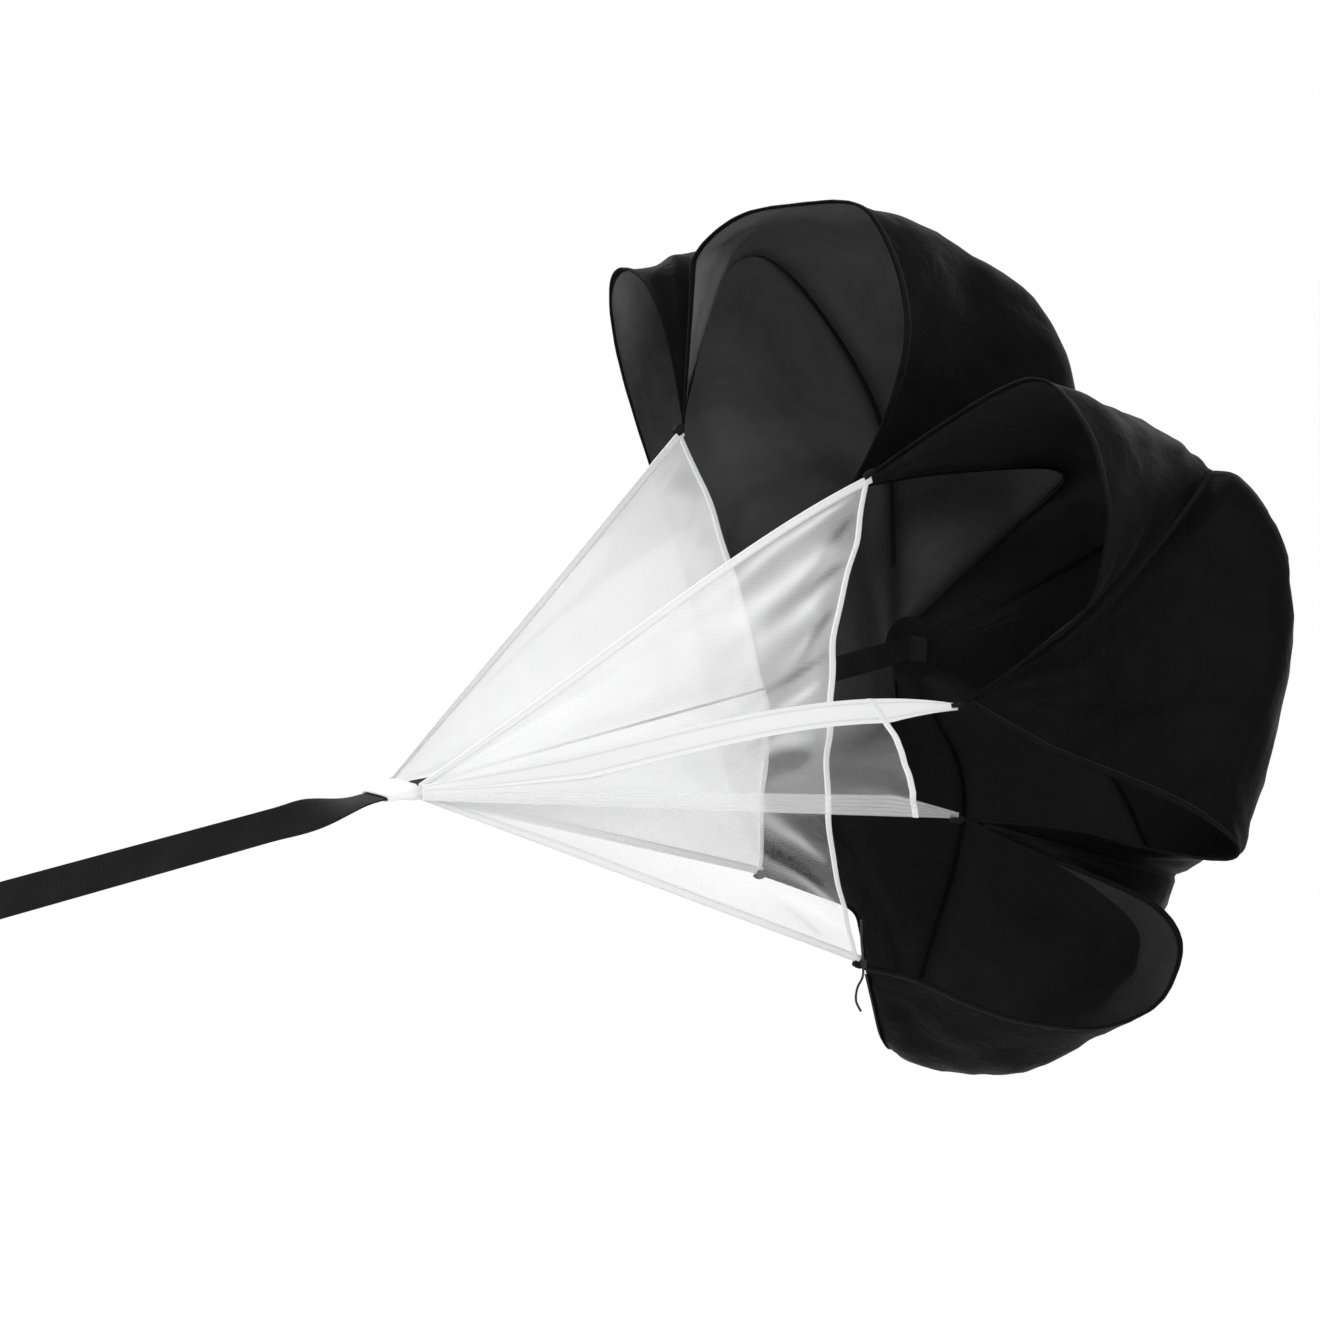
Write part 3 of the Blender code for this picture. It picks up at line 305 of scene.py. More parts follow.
def seam_curve(corner):
    end = crown_point(CROWN_ANGLES_DEG[CORNERS.index(corner)])
    ways = [corner_point(corner), *share_points(SEAM_SHARES[corner]), end]
    return [smooth_point(ways, SEAM_SPANS * j / LOBE_LEVELS) for j in range(LOBE_LEVELS + 1)]


def lobe_grid(lobe):
    """The cloth of one lobe: columns from corner to corner, levels from rim to crown."""
    index = LOBES.index(lobe)
    ends = (CORNERS[index], CORNERS[(index + 1) % len(CORNERS)])
    left, right = seam_curve(ends[0]), seam_curve(ends[1])
    rim_ways = [corner_point(ends[0]), *share_points(RIM_SHARES[lobe]), corner_point(ends[1])]
    rim = even_curve(rim_ways, LOBE_COLUMNS, RIM_TURN_SHARE)
    first, last = CROWN_ANGLES_DEG[index], CROWN_ANGLES_DEG[index + 1]
    half = LOBE_COLUMNS // 2
    crest_ways = [rim[half], *share_points(CREST_SHARES[lobe]), crown_point((first + last) / 2)]
    fades = FAR_SIDE_FADE_SHARES if lobe == "far_side_lobe" else RIM_FADE_SHARES
    grid = np.zeros((LOBE_COLUMNS + 1, LOBE_LEVELS + 1, 3))
    for j in range(LOBE_LEVELS + 1):
        at = SEAM_SPANS * j / LOBE_LEVELS
        fade = np.interp(at, range(SEAM_SPANS + 1), fades)
        closing = max(0.0, at - SEAM_SPANS + 1) ** 3
        for i in range(LOBE_COLUMNS + 1):
            part = i / LOBE_COLUMNS
            rim_offset = rim[i] - mixed(left[0], right[0], part)
            crown_offset = crown_point(mixed(first, last, part)) - mixed(left[-1], right[-1], part)
            grid[i, j] = mixed(left[j], right[j], part) + fade * rim_offset + closing * crown_offset
        rise = smooth_point(crest_ways, at) - grid[half, j]
        for i in range(LOBE_COLUMNS + 1):
            grid[i, j] += rise * math.sin(math.pi * i / LOBE_COLUMNS) ** ARCH_SHARES[lobe]
    return grid


def wrinkle(place, scale, seed, sharp=0.0):
    """Smooth random folds of about unit height, with sharper crests if asked."""
    crest_level, crest_gain = 0.35, 1.6
    value = noise.noise(Vector(place) * scale + Vector((seed, seed * 1.7, -seed)))
    return (1 - sharp) * value + sharp * (crest_level - abs(value)) * crest_gain


# Slack folds in the cloth as (height, waves in a metre, seed, sharpness)
SLACK_FOLDS = [(0.006, 9.0, 0, 0.0), (0.005, 17.0, 5, 0.7), (0.0016, 46.0, 9, 0.4)]

# Over what distance the folds grow from a seam and from the rim, and over how many levels from the crown
SEAM_HOLD = 0.012
RIM_HOLD = 0.03
CROWN_HOLD_LEVELS = 6
PULL_PHASE = 2.2


def corner_pull(beside, down, phase):
    """The folds that fan out from a lobe's corner, at a place beside its seam and down from its rim."""
    height, start, reach, count = 0.005, 0.02, 0.13, 9
    spread = math.hypot(beside, down)
    ridge = math.sin(count * math.atan2(down, beside) + phase)
    return height * ridge * math.exp(-spread / reach) * grown(spread, start)


def seam_pucker(run, near, down, drift):
    """The small puckers along a seam: run is the way along it, and near the distance from it."""
    height, turn, reach, hold, start = 0.0008, 0.0045, 0.022, 0.004, 0.02
    pucker = height * math.sin(run / turn + drift) * math.exp(-near / reach)
    return pucker * grown(near, hold) * min(1.0, down / start)


def lobe_folds(lobe, grid):
    """How far each point stands off the smooth cloth: slack folds, pulls from the corners, puckered seams."""
    wide, deep = grid.shape[:2]
    seed = 3.1 * LOBES.index(lobe) + 1.0
    along, across = run_lengths(grid, 1), run_lengths(grid, 0)
    folds = np.zeros((wide, deep))
    for i in range(wide):
        for j in range(deep):
            left, right, down = across[i, j], across[-1, j] - across[i, j], along[i, j]
            near = min(left, right)
            place = grid[i, j]
            slack = sum(h * wrinkle(place, scale, seed + k, sharp) for h, scale, k, sharp in SLACK_FOLDS)
            pull = corner_pull(left, down, seed + PULL_PHASE) + corner_pull(right, down, seed - PULL_PHASE)
            crown_hold = min(1.0, (deep - 1 - j) / CROWN_HOLD_LEVELS)
            hold = grown(near, SEAM_HOLD) * grown(down, RIM_HOLD) * crown_hold
            run = down if left < right else down + 0.01
            drift = 4 * wrinkle(place, scale=12.0, seed=seed + 2)
            folds[i, j] = hold * (slack + pull) + seam_pucker(run, near, down, drift)
    return folds


# Painted light on each lobe's inner face: how much is painted at its rim, and how much of that is lost
# towards the crown as painted shade deep in the lobe
PAINTED_LIGHT_SHARES = dict(zip(LOBES, (0.8, 0.1, 0.02, 0.2, 0.16, 0.9)))
PAINTED_LIGHT_LOSS_SHARE = 0.6

# A painted pool of light inside a lobe: how pale, then its place and size across and inwards, as shares of
# the lobe
LIGHT_PATCH_SHARES = {"near_side_lobe": (0.42, 0.35, 0.22, 0.5, 0.2)}

# Painted shade along each seam, in the valley where two lobes meet: the painted inner light is cut there
SEAM_SHADE_SHARE = 0.75
SEAM_SHADE_WIDTH = 0.016


def inner_painted_light(lobe, grid):
    """How much painted light the inner face gets at each point: less towards the crown and along the seams,
    with a painted pool of light in one lobe.
    """
    wide, deep = grid.shape[:2]
    across = run_lengths(grid, 0)
    near = np.minimum(across, across[-1:] - across)
    depth = np.linspace(0.0, 1.0, deep)[None, :]
    share = PAINTED_LIGHT_SHARES[lobe] * (1 - PAINTED_LIGHT_LOSS_SHARE * depth)
    if lobe in LIGHT_PATCH_SHARES:
        part = np.linspace(0.0, 1.0, wide)[:, None]
        pale, part_at, part_size, depth_at, depth_size = LIGHT_PATCH_SHARES[lobe]
        share = share + pale * hump(part, part_at, part_size) * hump(depth, depth_at, depth_size)
    return share * (1 - SEAM_SHADE_SHARE * hump(near, 0.0, SEAM_SHADE_WIDTH))


# Edges that bend less than these angles, in degrees, are shaded smooth
SMOOTH_BELOW_DEG = 50
ROUND_BELOW_DEG = 60


def add_object(name, data):
    made = bpy.data.objects.new(name, data)
    bpy.context.scene.collection.objects.link(made)
    return made


def add_to_part(name, data, look):
    """A piece in the given look that rides on the parachute's own body."""
    data.materials.append(MATERIALS[look])
    piece = add_object(name, data)
    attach(piece, "parachute")
    return piece


def add_piece(name, points, faces, look, uv=None, sharp=None):
    mesh = bpy.data.meshes.new(name)
    mesh.from_pydata([tuple(p) for p in points], [], faces)
    mesh.update()
    mesh.shade_smooth()
    if sharp is not None:
        mesh.set_sharp_from_angle(angle=math.radians(sharp))
    if uv is not None:
        add_uv(mesh, uv)
    return add_to_part(name, mesh, look)


def add_uv(mesh, uv_of_vertex, vertices=None):
    """UV places by vertex, or by the given list of vertices, one for each corner of each face."""
    layer = mesh.uv_layers.new(name="UVMap")
    for corner, vertex in zip(layer.data, vertices or [loop.vertex_index for loop in mesh.loops]):
        corner.uv = uv_of_vertex[vertex]


def carry(piece, name, values):
    """Gives each vertex a value that the piece's material reads."""
    layer = piece.data.attributes.new(name, "FLOAT", "POINT")
    layer.data.foreach_set("value", values)


def grid_faces(wide, deep, base=0):
    cells = [(i * deep + j + base) for i in range(wide - 1) for j in range(deep - 1)]
    return [(a, a + deep, a + deep + 1, a + 1) for a in cells]


def ring_faces(rows, count):
    """The quads between rings of equal count."""
    ring = [(k, (k + 1) % count) for k in range(count)]
    sides = [(start + k, start + n) for start in range(0, (rows - 1) * count, count) for k, n in ring]
    return [(a, b, b + count, a + count) for a, b in sides]


def band_piece(name, look, sections, path, widths, sharp=SMOOTH_BELOW_DEG):
    """A closed strip through sections of equal count, with its length and width as UV in metres."""
    count = len(sections[0])
    faces = ring_faces(len(sections), count)
    faces.append(tuple(reversed(range(count))))
    faces.append(tuple((len(sections) - 1) * count + k for k in range(count)))
    uv = [(across, along) for along in run_lengths(path) for across in widths]
    return add_piece(name, np.concatenate(sections), faces, look, uv, sharp)


def flat_strip(name, look, places, path, uv_width):
    """A closed strip of flat sections, each from its (centre, wide way, thin way, width, thickness)."""
    sections = []
    for centre, wide, thin, width, thickness in places:
        half_wide, half_thin = wide * width / 2, thin * thickness / 2
        sections.append(np.array([centre + half_wide * a + half_thin * b for a, b in SECTION_SHARES]))
    widths = [uv_width / 2 * (1 + a) for a, _ in SECTION_SHARES]
    return band_piece(name, look, sections, path, widths)


# A lobe's rough size on the UV map, and the step from one lobe to the next
LOBE_UV_WIDTH = 0.8
LOBE_UV_DEPTH = 0.5
LOBE_UV_STEP = 2.0
SAME_PLACE_DIGITS = 6


def canopy():
    """The whole canopy as one sheet of six lobes sewn together, closed at the crown."""
    points, faces, uvs, painted_lights = [], [], [], []
    lobes = {}
    for index, lobe in enumerate(LOBES):
        grid = refined(lobe_grid(lobe), FINE)
        normals = grid_normals(grid)
        lobes[lobe] = (grid, normals)
        wide, deep = grid.shape[:2]
        faces += grid_faces(wide, deep, len(points))
        across = [LOBE_UV_WIDTH * i / wide + LOBE_UV_STEP * index for i in range(wide)]
        uvs += [(x, LOBE_UV_DEPTH * j / deep) for x in across for j in range(deep)]
        points += list((grid + normals * lobe_folds(lobe, grid)[:, :, None]).reshape(-1, 3))
        painted_lights += list(inner_painted_light(lobe, grid).reshape(-1))
    merged, sewn = {}, []
    for point, painted_light in zip(points, painted_lights):
        place = tuple(np.round(point, SAME_PLACE_DIGITS))
        merged.setdefault(place, (len(merged), point, painted_light))
        sewn.append(merged[place][0])
    kept = merged.values()
    sewn_faces = [tuple(sewn[v] for v in face) for face in faces]
    piece = add_piece("canopy_cloth", [point for _, point, _ in kept], sewn_faces, "nylon")
    add_uv(piece.data, uvs, [v for face in faces for v in face])
    # Carries the painted light of the inner face to the nylon material
    carry(piece, "painted_light", [painted_light for _, _, painted_light in kept])
    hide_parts(*LOBES)
    return lobes


# The folded tape's section as (place in from the rim, share of its half thickness, place across the tape)
BINDING_HALF = 0.0019
BINDING_SECTION = [
    (-0.0014, 0.0, 0.0), (-0.0006, 0.75, 0.001), (0.002, 1.0, 0.0035), (0.0072, 0.85, 0.0072),
    (BINDING_WIDTH, 0.45, 0.009), (BINDING_WIDTH, -0.45, 0.009), (0.0072, -0.85, 0.0072),
    (0.002, -1.0, 0.0035), (-0.0006, -0.75, 0.001),
]


def rim_tapes(lobes):
    """The folded tape that binds each rim, one continuous piece to a lobe."""
    ripple_share, ripple_turn = 0.1, 1.9
    widths = [width for _, _, width in BINDING_SECTION]
    for lobe, (grid, normals) in lobes.items():
        sections = []
        for i in range(len(grid)):
            inward = unit(grid[i, 2] - grid[i, 0])
            half = normals[i, 0] * BINDING_HALF * (1 + ripple_share * math.sin(i * ripple_turn))
            sections.append(np.array([grid[i, 0] + inward * a + half * b for a, b, _ in BINDING_SECTION]))
        tape = band_piece(lobe.replace("lobe", "rim_tape"), "binding", sections, grid[:, 0], widths)
        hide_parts(lobe.replace("lobe", "binding"))


# The felled seams: their size, the least and most they stand off, and the rows left free at the crown
SEAM_WIDTH = 0.0064
SEAM_THICKNESS = 0.0012
SEAM_RISE = (0.0003, 0.003)
SEAM_FREE_ROWS = 3


def seam_strips(lobes):
    """The felled seams between the lobes, raised on the outer face."""
    for k, lobe in enumerate(LOBES):
        grid, normals = lobes[lobe]
        before, normals_before = lobes[LOBES[k - 1]]
        path = grid[0]
        stop = len(path) - SEAM_FREE_ROWS
        places = []
        for j in range(1, stop):
            out = unit(normals[0, j] + normals_before[-1, j])
            wide = unit(np.cross(unit(path[j + 1] - path[j - 1]), out))
            beside = (grid[2, j] + before[-3, j]) / 2 - path[j]
            spread = np.linalg.norm(grid[2, j] - before[-3, j]) / 2
            rise = np.clip(SEAM_WIDTH / 2 * np.dot(beside, out) / spread, *SEAM_RISE)
            places.append((path[j] + out * rise, wide, out, SEAM_WIDTH, SEAM_THICKNESS))
        flat_strip(CORNERS[k] + "_seam", "seam", places, path[1:stop], SEAM_WIDTH)


# The crown patch as (radius, half thickness) from near its middle to its edge
DISC_RINGS = [(0.012, 0.0021), (0.026, 0.0018), (0.0345, 0.0014), (0.0375, 0.0005)]
DISC_MIDDLE = 0.0022
DISC_SIDES = 48
DISC_UV_RADIUS = 0.03


def crown_disc():
    """The stitched round patch where the seams meet, domed a little on both faces."""
    points, uvs = [], []
    rings = DISC_RINGS + [(radius, -height) for radius, height in reversed(DISC_RINGS)]
    for radius, height in rings:
        for k in range(DISC_SIDES):
            angle = 2 * math.pi * k / DISC_SIDES
            points.append((CROWN + height, radius * math.cos(angle), radius * math.sin(angle)))
            uvs.append((radius, DISC_UV_RADIUS * angle))
    front, back = len(points), len(points) + 1
    points += [(CROWN + DISC_MIDDLE, 0.0, 0.0), (CROWN - DISC_MIDDLE, 0.0, 0.0)]
    uvs += [(0.0, 0.0), (0.0, 0.0)]
    faces = [(a, d, c, b) for a, b, c, d in ring_faces(len(rings), DISC_SIDES)]
    last = front - DISC_SIDES
    for k in range(DISC_SIDES):
        n = (k + 1) % DISC_SIDES
        faces += [(front, k, n), (back, last + n, last + k)]
    disc = add_piece("crown_disc", points, faces, "seam", uvs, ROUND_BELOW_DEG)
    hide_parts("crown_patch")


def gore_edges(gore):
    """Tip and corner points of a gore's upper and lower edges, as the solids have them."""
    side = 1.0 if gore == "far_gore" else -1.0
    step = NEAR_GORE_STEP if gore == "near_gore" else 0.0
    across = side * (STRAP_WIDTH / 2 + GORE_STAND_OFF + step)
    start = APEX + CUFF_LENGTH + GAP
    tips = [spot(start, across, up) for up in (GORE_TIP_WIDTH / 2, -GORE_TIP_WIDTH / 2)]
    ends = []
    for corner, tip in zip(GORES[gore], tips):
        target = sewn_point(corner)
        ends.append(target + unit(tip - target) * (TAB_STAND_OFF + TAB_LENGTH + GAP))
    return tips, ends


def gore_point(gore, a, v, edges):
    """The gore's surface: a runs from its upper to its lower edge, v from its tip to its corners."""
    tips, ends = edges
    bow = math.sin(math.pi * a)
    pull = spot(*HEM_PULL_SHARES[gore]) * bow * max(v, 0.0) ** HEM_PULL_POWER
    swell = ACROSS * SWELL_SHARES[gore] * bow * 4 * v * (1 - v)
    lift = UP * LIFT_SHARES[gore] * (1 - a) * 27 / 4 * v * v * (1 - v)
    return mixed(mixed(*tips, a), mixed(*ends, a), v) + (pull + swell + lift) * CONE_LENGTH


def gore_normal(gore, a, v, edges):
    small = 0.0006
    da = gore_point(gore, a + small, v, edges) - gore_point(gore, a - small, v, edges)
    dv = gore_point(gore, a, v + small, edges) - gore_point(gore, a, v - small, edges)
    return unit(np.cross(da, dv))


# Tension ridges in the mesh as (place, width, height) shares across each gore, and how strong they are
RIDGE_SHARES = by_gore(
    [(0.16, 0.05, 0.9), (0.38, 0.06, -0.8), (0.58, 0.05, 1.0), (0.8, 0.05, -0.7)],
    [(0.12, 0.04, 0.9), (0.3, 0.05, -0.9), (0.47, 0.04, 1.0), (0.66, 0.06, -0.8), (0.86, 0.04, 0.9)],
    [(0.3, 0.06, 0.7), (0.55, 0.07, -0.8), (0.78, 0.05, 0.7)],
)
RIDGE_STRENGTH = by_gore(1.0, 1.0, 0.4)
RIDGE_HEIGHT = 0.005


def gore_folds(gore, a, v):
    """Folds that run from the gathered tip towards the hem, and the small waves near the hem."""
    edge_growth, tip_growth = 8, 3
    drift_share, wave_share, wave_start, wave_turns = 0.8, 0.35, 0.6, 22
    ridges = sum(height * hump(a, at, width) for at, width, height in RIDGE_SHARES[gore])
    fade = min(1.0, edge_growth * a, edge_growth * (1 - a)) * min(1.0, tip_growth * v) * RIDGE_STRENGTH[gore]
    drift = wrinkle((3.0 * a, 2.2 * v, 0.0), scale=1.6, seed=2.3 * len(gore))
    at_hem = max(0.0, v - wave_start) / (1 - wave_start)
    wave = wave_share * math.sin(wave_turns * a + 3 * drift) * at_hem
    return RIDGE_HEIGHT * fade * (ridges * (1 + v) / 2 + wave + drift_share * drift)


# How much of each gore its threads cover, from its upper to its lower edge, where the mesh is spread out;
# partly painted light and shade, as the change across each gore also stands in for how the sun falls on the
# mesh
COVER_AND_LIGHT_SHARES = by_gore(
    [0.9, 0.88, 0.9, 0.86, 0.88, 0.9],
    [0.42, 0.52, 0.5, 0.16, 0.14, 0.42],
    [0.16, 0.14, 0.12, 0.13, 0.16, 0.22],
)
LEAST_COVER = 0.06
GATHER_SHARE = 0.5

# Folds that double the mesh, or let it thin out: how many fan out from each corner, how far, and how strong
FOLD_COUNTS = by_gore((7, 4), (12, 5), (3, 2))
FOLD_STRENGTH = by_gore(0.13, 0.4, 0.07)
FOLD_FAN_SHARES = (0.62, 0.34)
FOLD_SEED = 7

# The least and most that chance gives each fold
FOLD_PLACE = (0.3, 0.8)
FOLD_LEAN = (0.05, 0.15)
FOLD_START = (0.9, 0.99)
FOLD_START_SHARE = 0.85
FOLD_END = (0.5, 0.78)
FOLD_CHANGE = (0.55, 1.15)
FOLD_HALF_WIDTH = (0.005, 0.014)

# How the folds bend, widen, grow and fade along their length, and how uneven the mesh is in between
BEND_SCALE = 9.0
BEND_SIZE = 0.01
BEND_SHIFT = Vector((5.2, 1.3, 0.7))
WIDEN_SHARES = (0.5, 1.6)
GROW_SHARES = (0.3, 5)
FADE_SHARE = 0.8
UNEVEN_SHARE = 0.5


def fan_place(a, v, reach):
    """Where a share of a gore lies when it is spread flat, in metres."""
    return np.array([(a - 0.5) * reach * v, v * CONE_LENGTH])


def gore_streaks(gore):
    """Folds as (start, end, width, change), in metres on the gore spread flat."""
    reach = GORE_REACH[gore]
    chance = random.Random(FOLD_SEED + len(gore))
    streaks = []
    for side, count, fan in zip((0.0, 1.0), FOLD_COUNTS[gore], FOLD_FAN_SHARES):
        for k in range(count):
            away = (k + chance.uniform(*FOLD_PLACE)) / count * fan
            end_a = away + chance.uniform(*FOLD_LEAN)
            start_v, end_v = chance.uniform(*FOLD_START), chance.uniform(*FOLD_END)
            start = fan_place(abs(side - away * FOLD_START_SHARE), start_v, reach)
            end = fan_place(abs(side - end_a), end_v, reach)
            change = FOLD_STRENGTH[gore] * chance.uniform(*FOLD_CHANGE) * (1 if k % 2 == 0 else -1)
            streaks.append((start, end, chance.uniform(*FOLD_HALF_WIDTH), change))
    return streaks


def mesh_cover(gore, a, v, streaks):
    """The share of the light that the mesh stops at one place."""
    # The table's change across the gore is partly painted light and shade, not only the mesh's openness
    table = COVER_AND_LIGHT_SHARES[gore]
    cover = np.interp(a * (len(table) - 1), range(len(table)), table)
    place = fan_place(a, v, GORE_REACH[gore])
    bend = Vector((*place, 0.0)) * BEND_SCALE
    place = place + BEND_SIZE * np.array([noise.noise(bend), noise.noise(bend + BEND_SHIFT)])
    for start, end, width, change in streaks:
        line = end - start
        part = min(1.0, max(0.0, np.dot(place - start, line) / np.dot(line, line)))
        gap = np.linalg.norm(place - start - line * part)
        fade = min(1.0, GROW_SHARES[0] + GROW_SHARES[1] * part) * (1 - FADE_SHARE * part)
        cover += change * fade * hump(gap, 0.0, width * mixed(*WIDEN_SHARES, part))
    uneven = wrinkle((place[0], 0.35 * place[1], 0.0), scale=22.0, seed=4.1 * len(gore), sharp=0.6)
    cover += UNEVEN_SHARE * cover * uneven
    gathered = max(0.0, 1 - v / GATHER_SHARE)
    return min(1.0, max(LEAST_COVER, mixed(cover, 1.0, gathered)))


def edge_width(gore, v):
    full = FOLD_WIDTH if gore == "near_gore" else TAPE_WIDTH
    width = mixed(TAPE_TIP_WIDTH, full, min(1.0, 4 * v))
    if gore == "near_gore" and v > FOLD_TAPER_SHARE:
        width += (FOLD_TIP_WIDTH - full) * (v - FOLD_TAPER_SHARE) / (1 - FOLD_TAPER_SHARE)
    return width


# The mesh's width on the UV map at its tip, and how much it gains towards the hem
MESH_TIP_UV = 0.02
MESH_UV_GAIN = 0.5


def mesh_gore(gore):
    """One mesh gore: the see-through panel, its folded edges and its hem."""
    edges = gore_edges(gore)
    streaks = gore_streaks(gore)
    grid = np.zeros((GORE_COLUMNS, GORE_LEVELS, 3))
    uvs, covers = [], []
    for i in range(GORE_COLUMNS):
        a = i / (GORE_COLUMNS - 1)
        stop = 1 - mixed(*HEM_STOP_SHARES[gore], a)
        for j in range(GORE_LEVELS):
            v = stop * j / (GORE_LEVELS - 1)
            fold = gore_normal(gore, a, v, edges) * gore_folds(gore, a, v)
            grid[i, j] = gore_point(gore, a, v, edges) + fold
            uvs.append(((a - 0.5) * (MESH_TIP_UV + MESH_UV_GAIN * v), v * CONE_LENGTH))
            covers.append(mesh_cover(gore, a, v, streaks))
    panel = add_piece(gore + "_mesh", grid.reshape(-1, 3), grid_faces(GORE_COLUMNS, GORE_LEVELS), "mesh", uvs)
    carry(panel, "cover", covers)
    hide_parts(gore)
    hem_band(gore, grid)
    edge_band(gore, "upper", edges)
    edge_band(gore, "lower", edges)
    return panel


# Tape thicknesses, and how far in the hem's middle lies as a share of its width
HEM_THICKNESS = 0.0022
HEM_IN_SHARE = 0.45
EDGE_THICKNESS = 0.0024
EDGE_STEPS = 60


def hem_band(gore, grid):
    """The folded hem along the panel's free end."""
    places = []
    path = grid[:, -1]
    last = len(path) - 1
    for i, point in enumerate(path):
        inward = unit(grid[i, -5] - point)
        along = unit(path[min(i + 1, last)] - path[max(i - 1, 0)])
        normal = unit(np.cross(along, inward))
        places.append((point + inward * TAPE_WIDTH * HEM_IN_SHARE, inward, normal, TAPE_WIDTH, HEM_THICKNESS))
    label = gore.replace("_gore", "")
    hem = flat_strip(label + "_hem", "tape", places, path, TAPE_WIDTH)
    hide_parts(label + "_hem_tape")


def edge_band(gore, side, edges):
    """The doubled edge of a gore, from its gathered tip to its corner of the canopy."""
    start, step, ahead, sway, sway_turns = 0.002, 0.02, 0.01, 0.0005, 9
    edge, inside = (0.0, step) if side == "upper" else (1.0, 1.0 - step)
    places, path = [], []
    for j in range(EDGE_STEPS + 1):
        v = max(j / EDGE_STEPS, start)
        point = gore_point(gore, edge, v, edges)
        along = unit(gore_point(gore, edge, v + ahead, edges) - point)
        inward = gore_point(gore, inside, v, edges) - point
        inward = unit(inward - along * np.dot(inward, along))
        normal = unit(np.cross(along, inward))
        width = edge_width(gore, v)
        centre = point + inward * width / 2 + normal * sway * math.sin(sway_turns * v + 2 * edge)
        places.append((centre, inward, normal, width, EDGE_THICKNESS))
        path.append(point)
    look = "fold" if gore == "near_gore" and side == "lower" else "tape"
    label = f"{gore.replace('_gore', '')}_{side}"
    band = flat_strip(label + "_edge", look, places, path, TAPE_WIDTH)
    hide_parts(label + "_tape")


# The sewn tabs as (place along, width, thickness), from inside the mesh's corner to the canopy's corner
TAB_SECTIONS = [
    (-0.012, 0.01, 0.0036), (-0.004, 0.0125, 0.0036), (0.003, 0.012, 0.0026), (0.0072, 0.0096, 0.0026),
    (0.0112, 0.0056, 0.0026),
]
TAB_UV_WIDTH = 0.012


def corner_tabs():
    """The short doubled tabs between the mesh corners and the canopy's corners."""
    for gore, corners in GORES.items():
        _, ends = gore_edges(gore)
        for corner, end in zip(corners, ends):
            target = sewn_point(corner)
            along = unit(target - end)
            radial = unit(spot(0.0, *target[1:]))
            wide = unit(np.cross(along, np.cross(radial, along)))
            thin = np.cross(along, wide)
            places = [(end + along * at, wide, thin, width, thick) for at, width, thick in TAB_SECTIONS]
            path = [place[0] for place in places]
            tab = flat_strip(corner + "_sewn_tab", "webbing", places, path, TAB_UV_WIDTH)
            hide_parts(corner + "_tab")


# The cuff as (place along, how far it stands past the strap's edges, half height)
CUFF_ROWS = [
    (0.0, 0.0018, 0.0026), (0.006, 0.0022, 0.0032), (0.014, 0.0034, 0.004), (0.024, 0.0058, 0.0058),
    (0.034, 0.0078, 0.0082),
]
CUFF_SIDES = 72
CUFF_UV_ROUND = 0.1
CUFF_THICKNESS = 0.0008


def squared(value, power=0.6):
    return math.copysign(abs(value) ** power, value)


def cuff():
    """The gathered end of the mesh, wrapped and sewn round the strap, with pleats that open to the gores."""
    pleats, pleat_share = 9, 0.05
    points, uvs = [], []
    for row, (x, past, tall) in enumerate(CUFF_ROWS):
        opened = pleat_share * row / (len(CUFF_ROWS) - 1)
        for k in range(CUFF_SIDES):
            angle = 2 * math.pi * k / CUFF_SIDES
            y = (STRAP_WIDTH / 2 + past) * squared(math.cos(angle))
            z = tall * squared(math.sin(angle)) * (1 + opened * math.sin(pleats * angle))
            points.append((APEX + x, y, z))
            uvs.append((CUFF_UV_ROUND * k / CUFF_SIDES, x))
    faces = ring_faces(len(CUFF_ROWS), CUFF_SIDES)
    piece = add_piece("mesh_cuff", points, faces, "tape", uvs, ROUND_BELOW_DEG)
    wall = piece.modifiers.new("wall", "SOLIDIFY")
    wall.thickness = CUFF_THICKNESS
    wall.offset = 0.0
    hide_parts("gather_cuff")


# The strap's end, and its turns about its own line as (start, end, degrees)
STRAP_END = CROWN - PATCH_THICKNESS / 2 - GAP - STRAP_THICKNESS * 2
STRAP_STEPS = 260
CUFF_LEAD = 0.012
TWIST_LENGTH = 0.11
LEAN_LENGTH = 0.08
RETURN_LENGTH = 0.09
FOOT_RUN = 0.172
LEAN_START = APEX + CUFF_LENGTH + CUFF_LEAD
STRAP_TURNS = [
    (APEX - CUFF_LEAD - TWIST_LENGTH, APEX - CUFF_LEAD, 90),
    (LEAN_START, LEAN_START + LEAN_LENGTH, 18),
    (CROWN - FOOT_RUN - RETURN_LENGTH, CROWN - FOOT_RUN, -108),
]


def eased(x, span):
    """How far a turn has got at x, from 0 to 1 over the span, slow at both ends."""
    share = np.interp(x, span, (0.0, 1.0))
    return 3 * share**2 - 2 * share**3


def strap_places():
    """Centre, wide way and thin way of the taut webbing, from behind the loop to the crown."""
    places = []
    for x in np.linspace(EYE_BAR + LOOP_LENGTH, STRAP_END, STRAP_STEPS):
        turn = math.radians(sum(degrees * eased(x, (start, end)) for start, end, degrees in STRAP_TURNS))
        wide = spot(0.0, math.sin(turn), math.cos(turn))
        places.append((spot(x), wide, np.cross(spot(1.0), wide)))
    return places


LOOP_BEND = EYE_BAR_RADIUS + LOOP_GAP + STRAP_THICKNESS / 2
LOOP_NECK_DEG = 30
LOOP_STEPS = 24
TAIL_STEPS = 12
FOOT_BEND = 1.2 * STRAP_THICKNESS
FOOT_STEPS = 6
FOOT_START_SHARE = 0.2


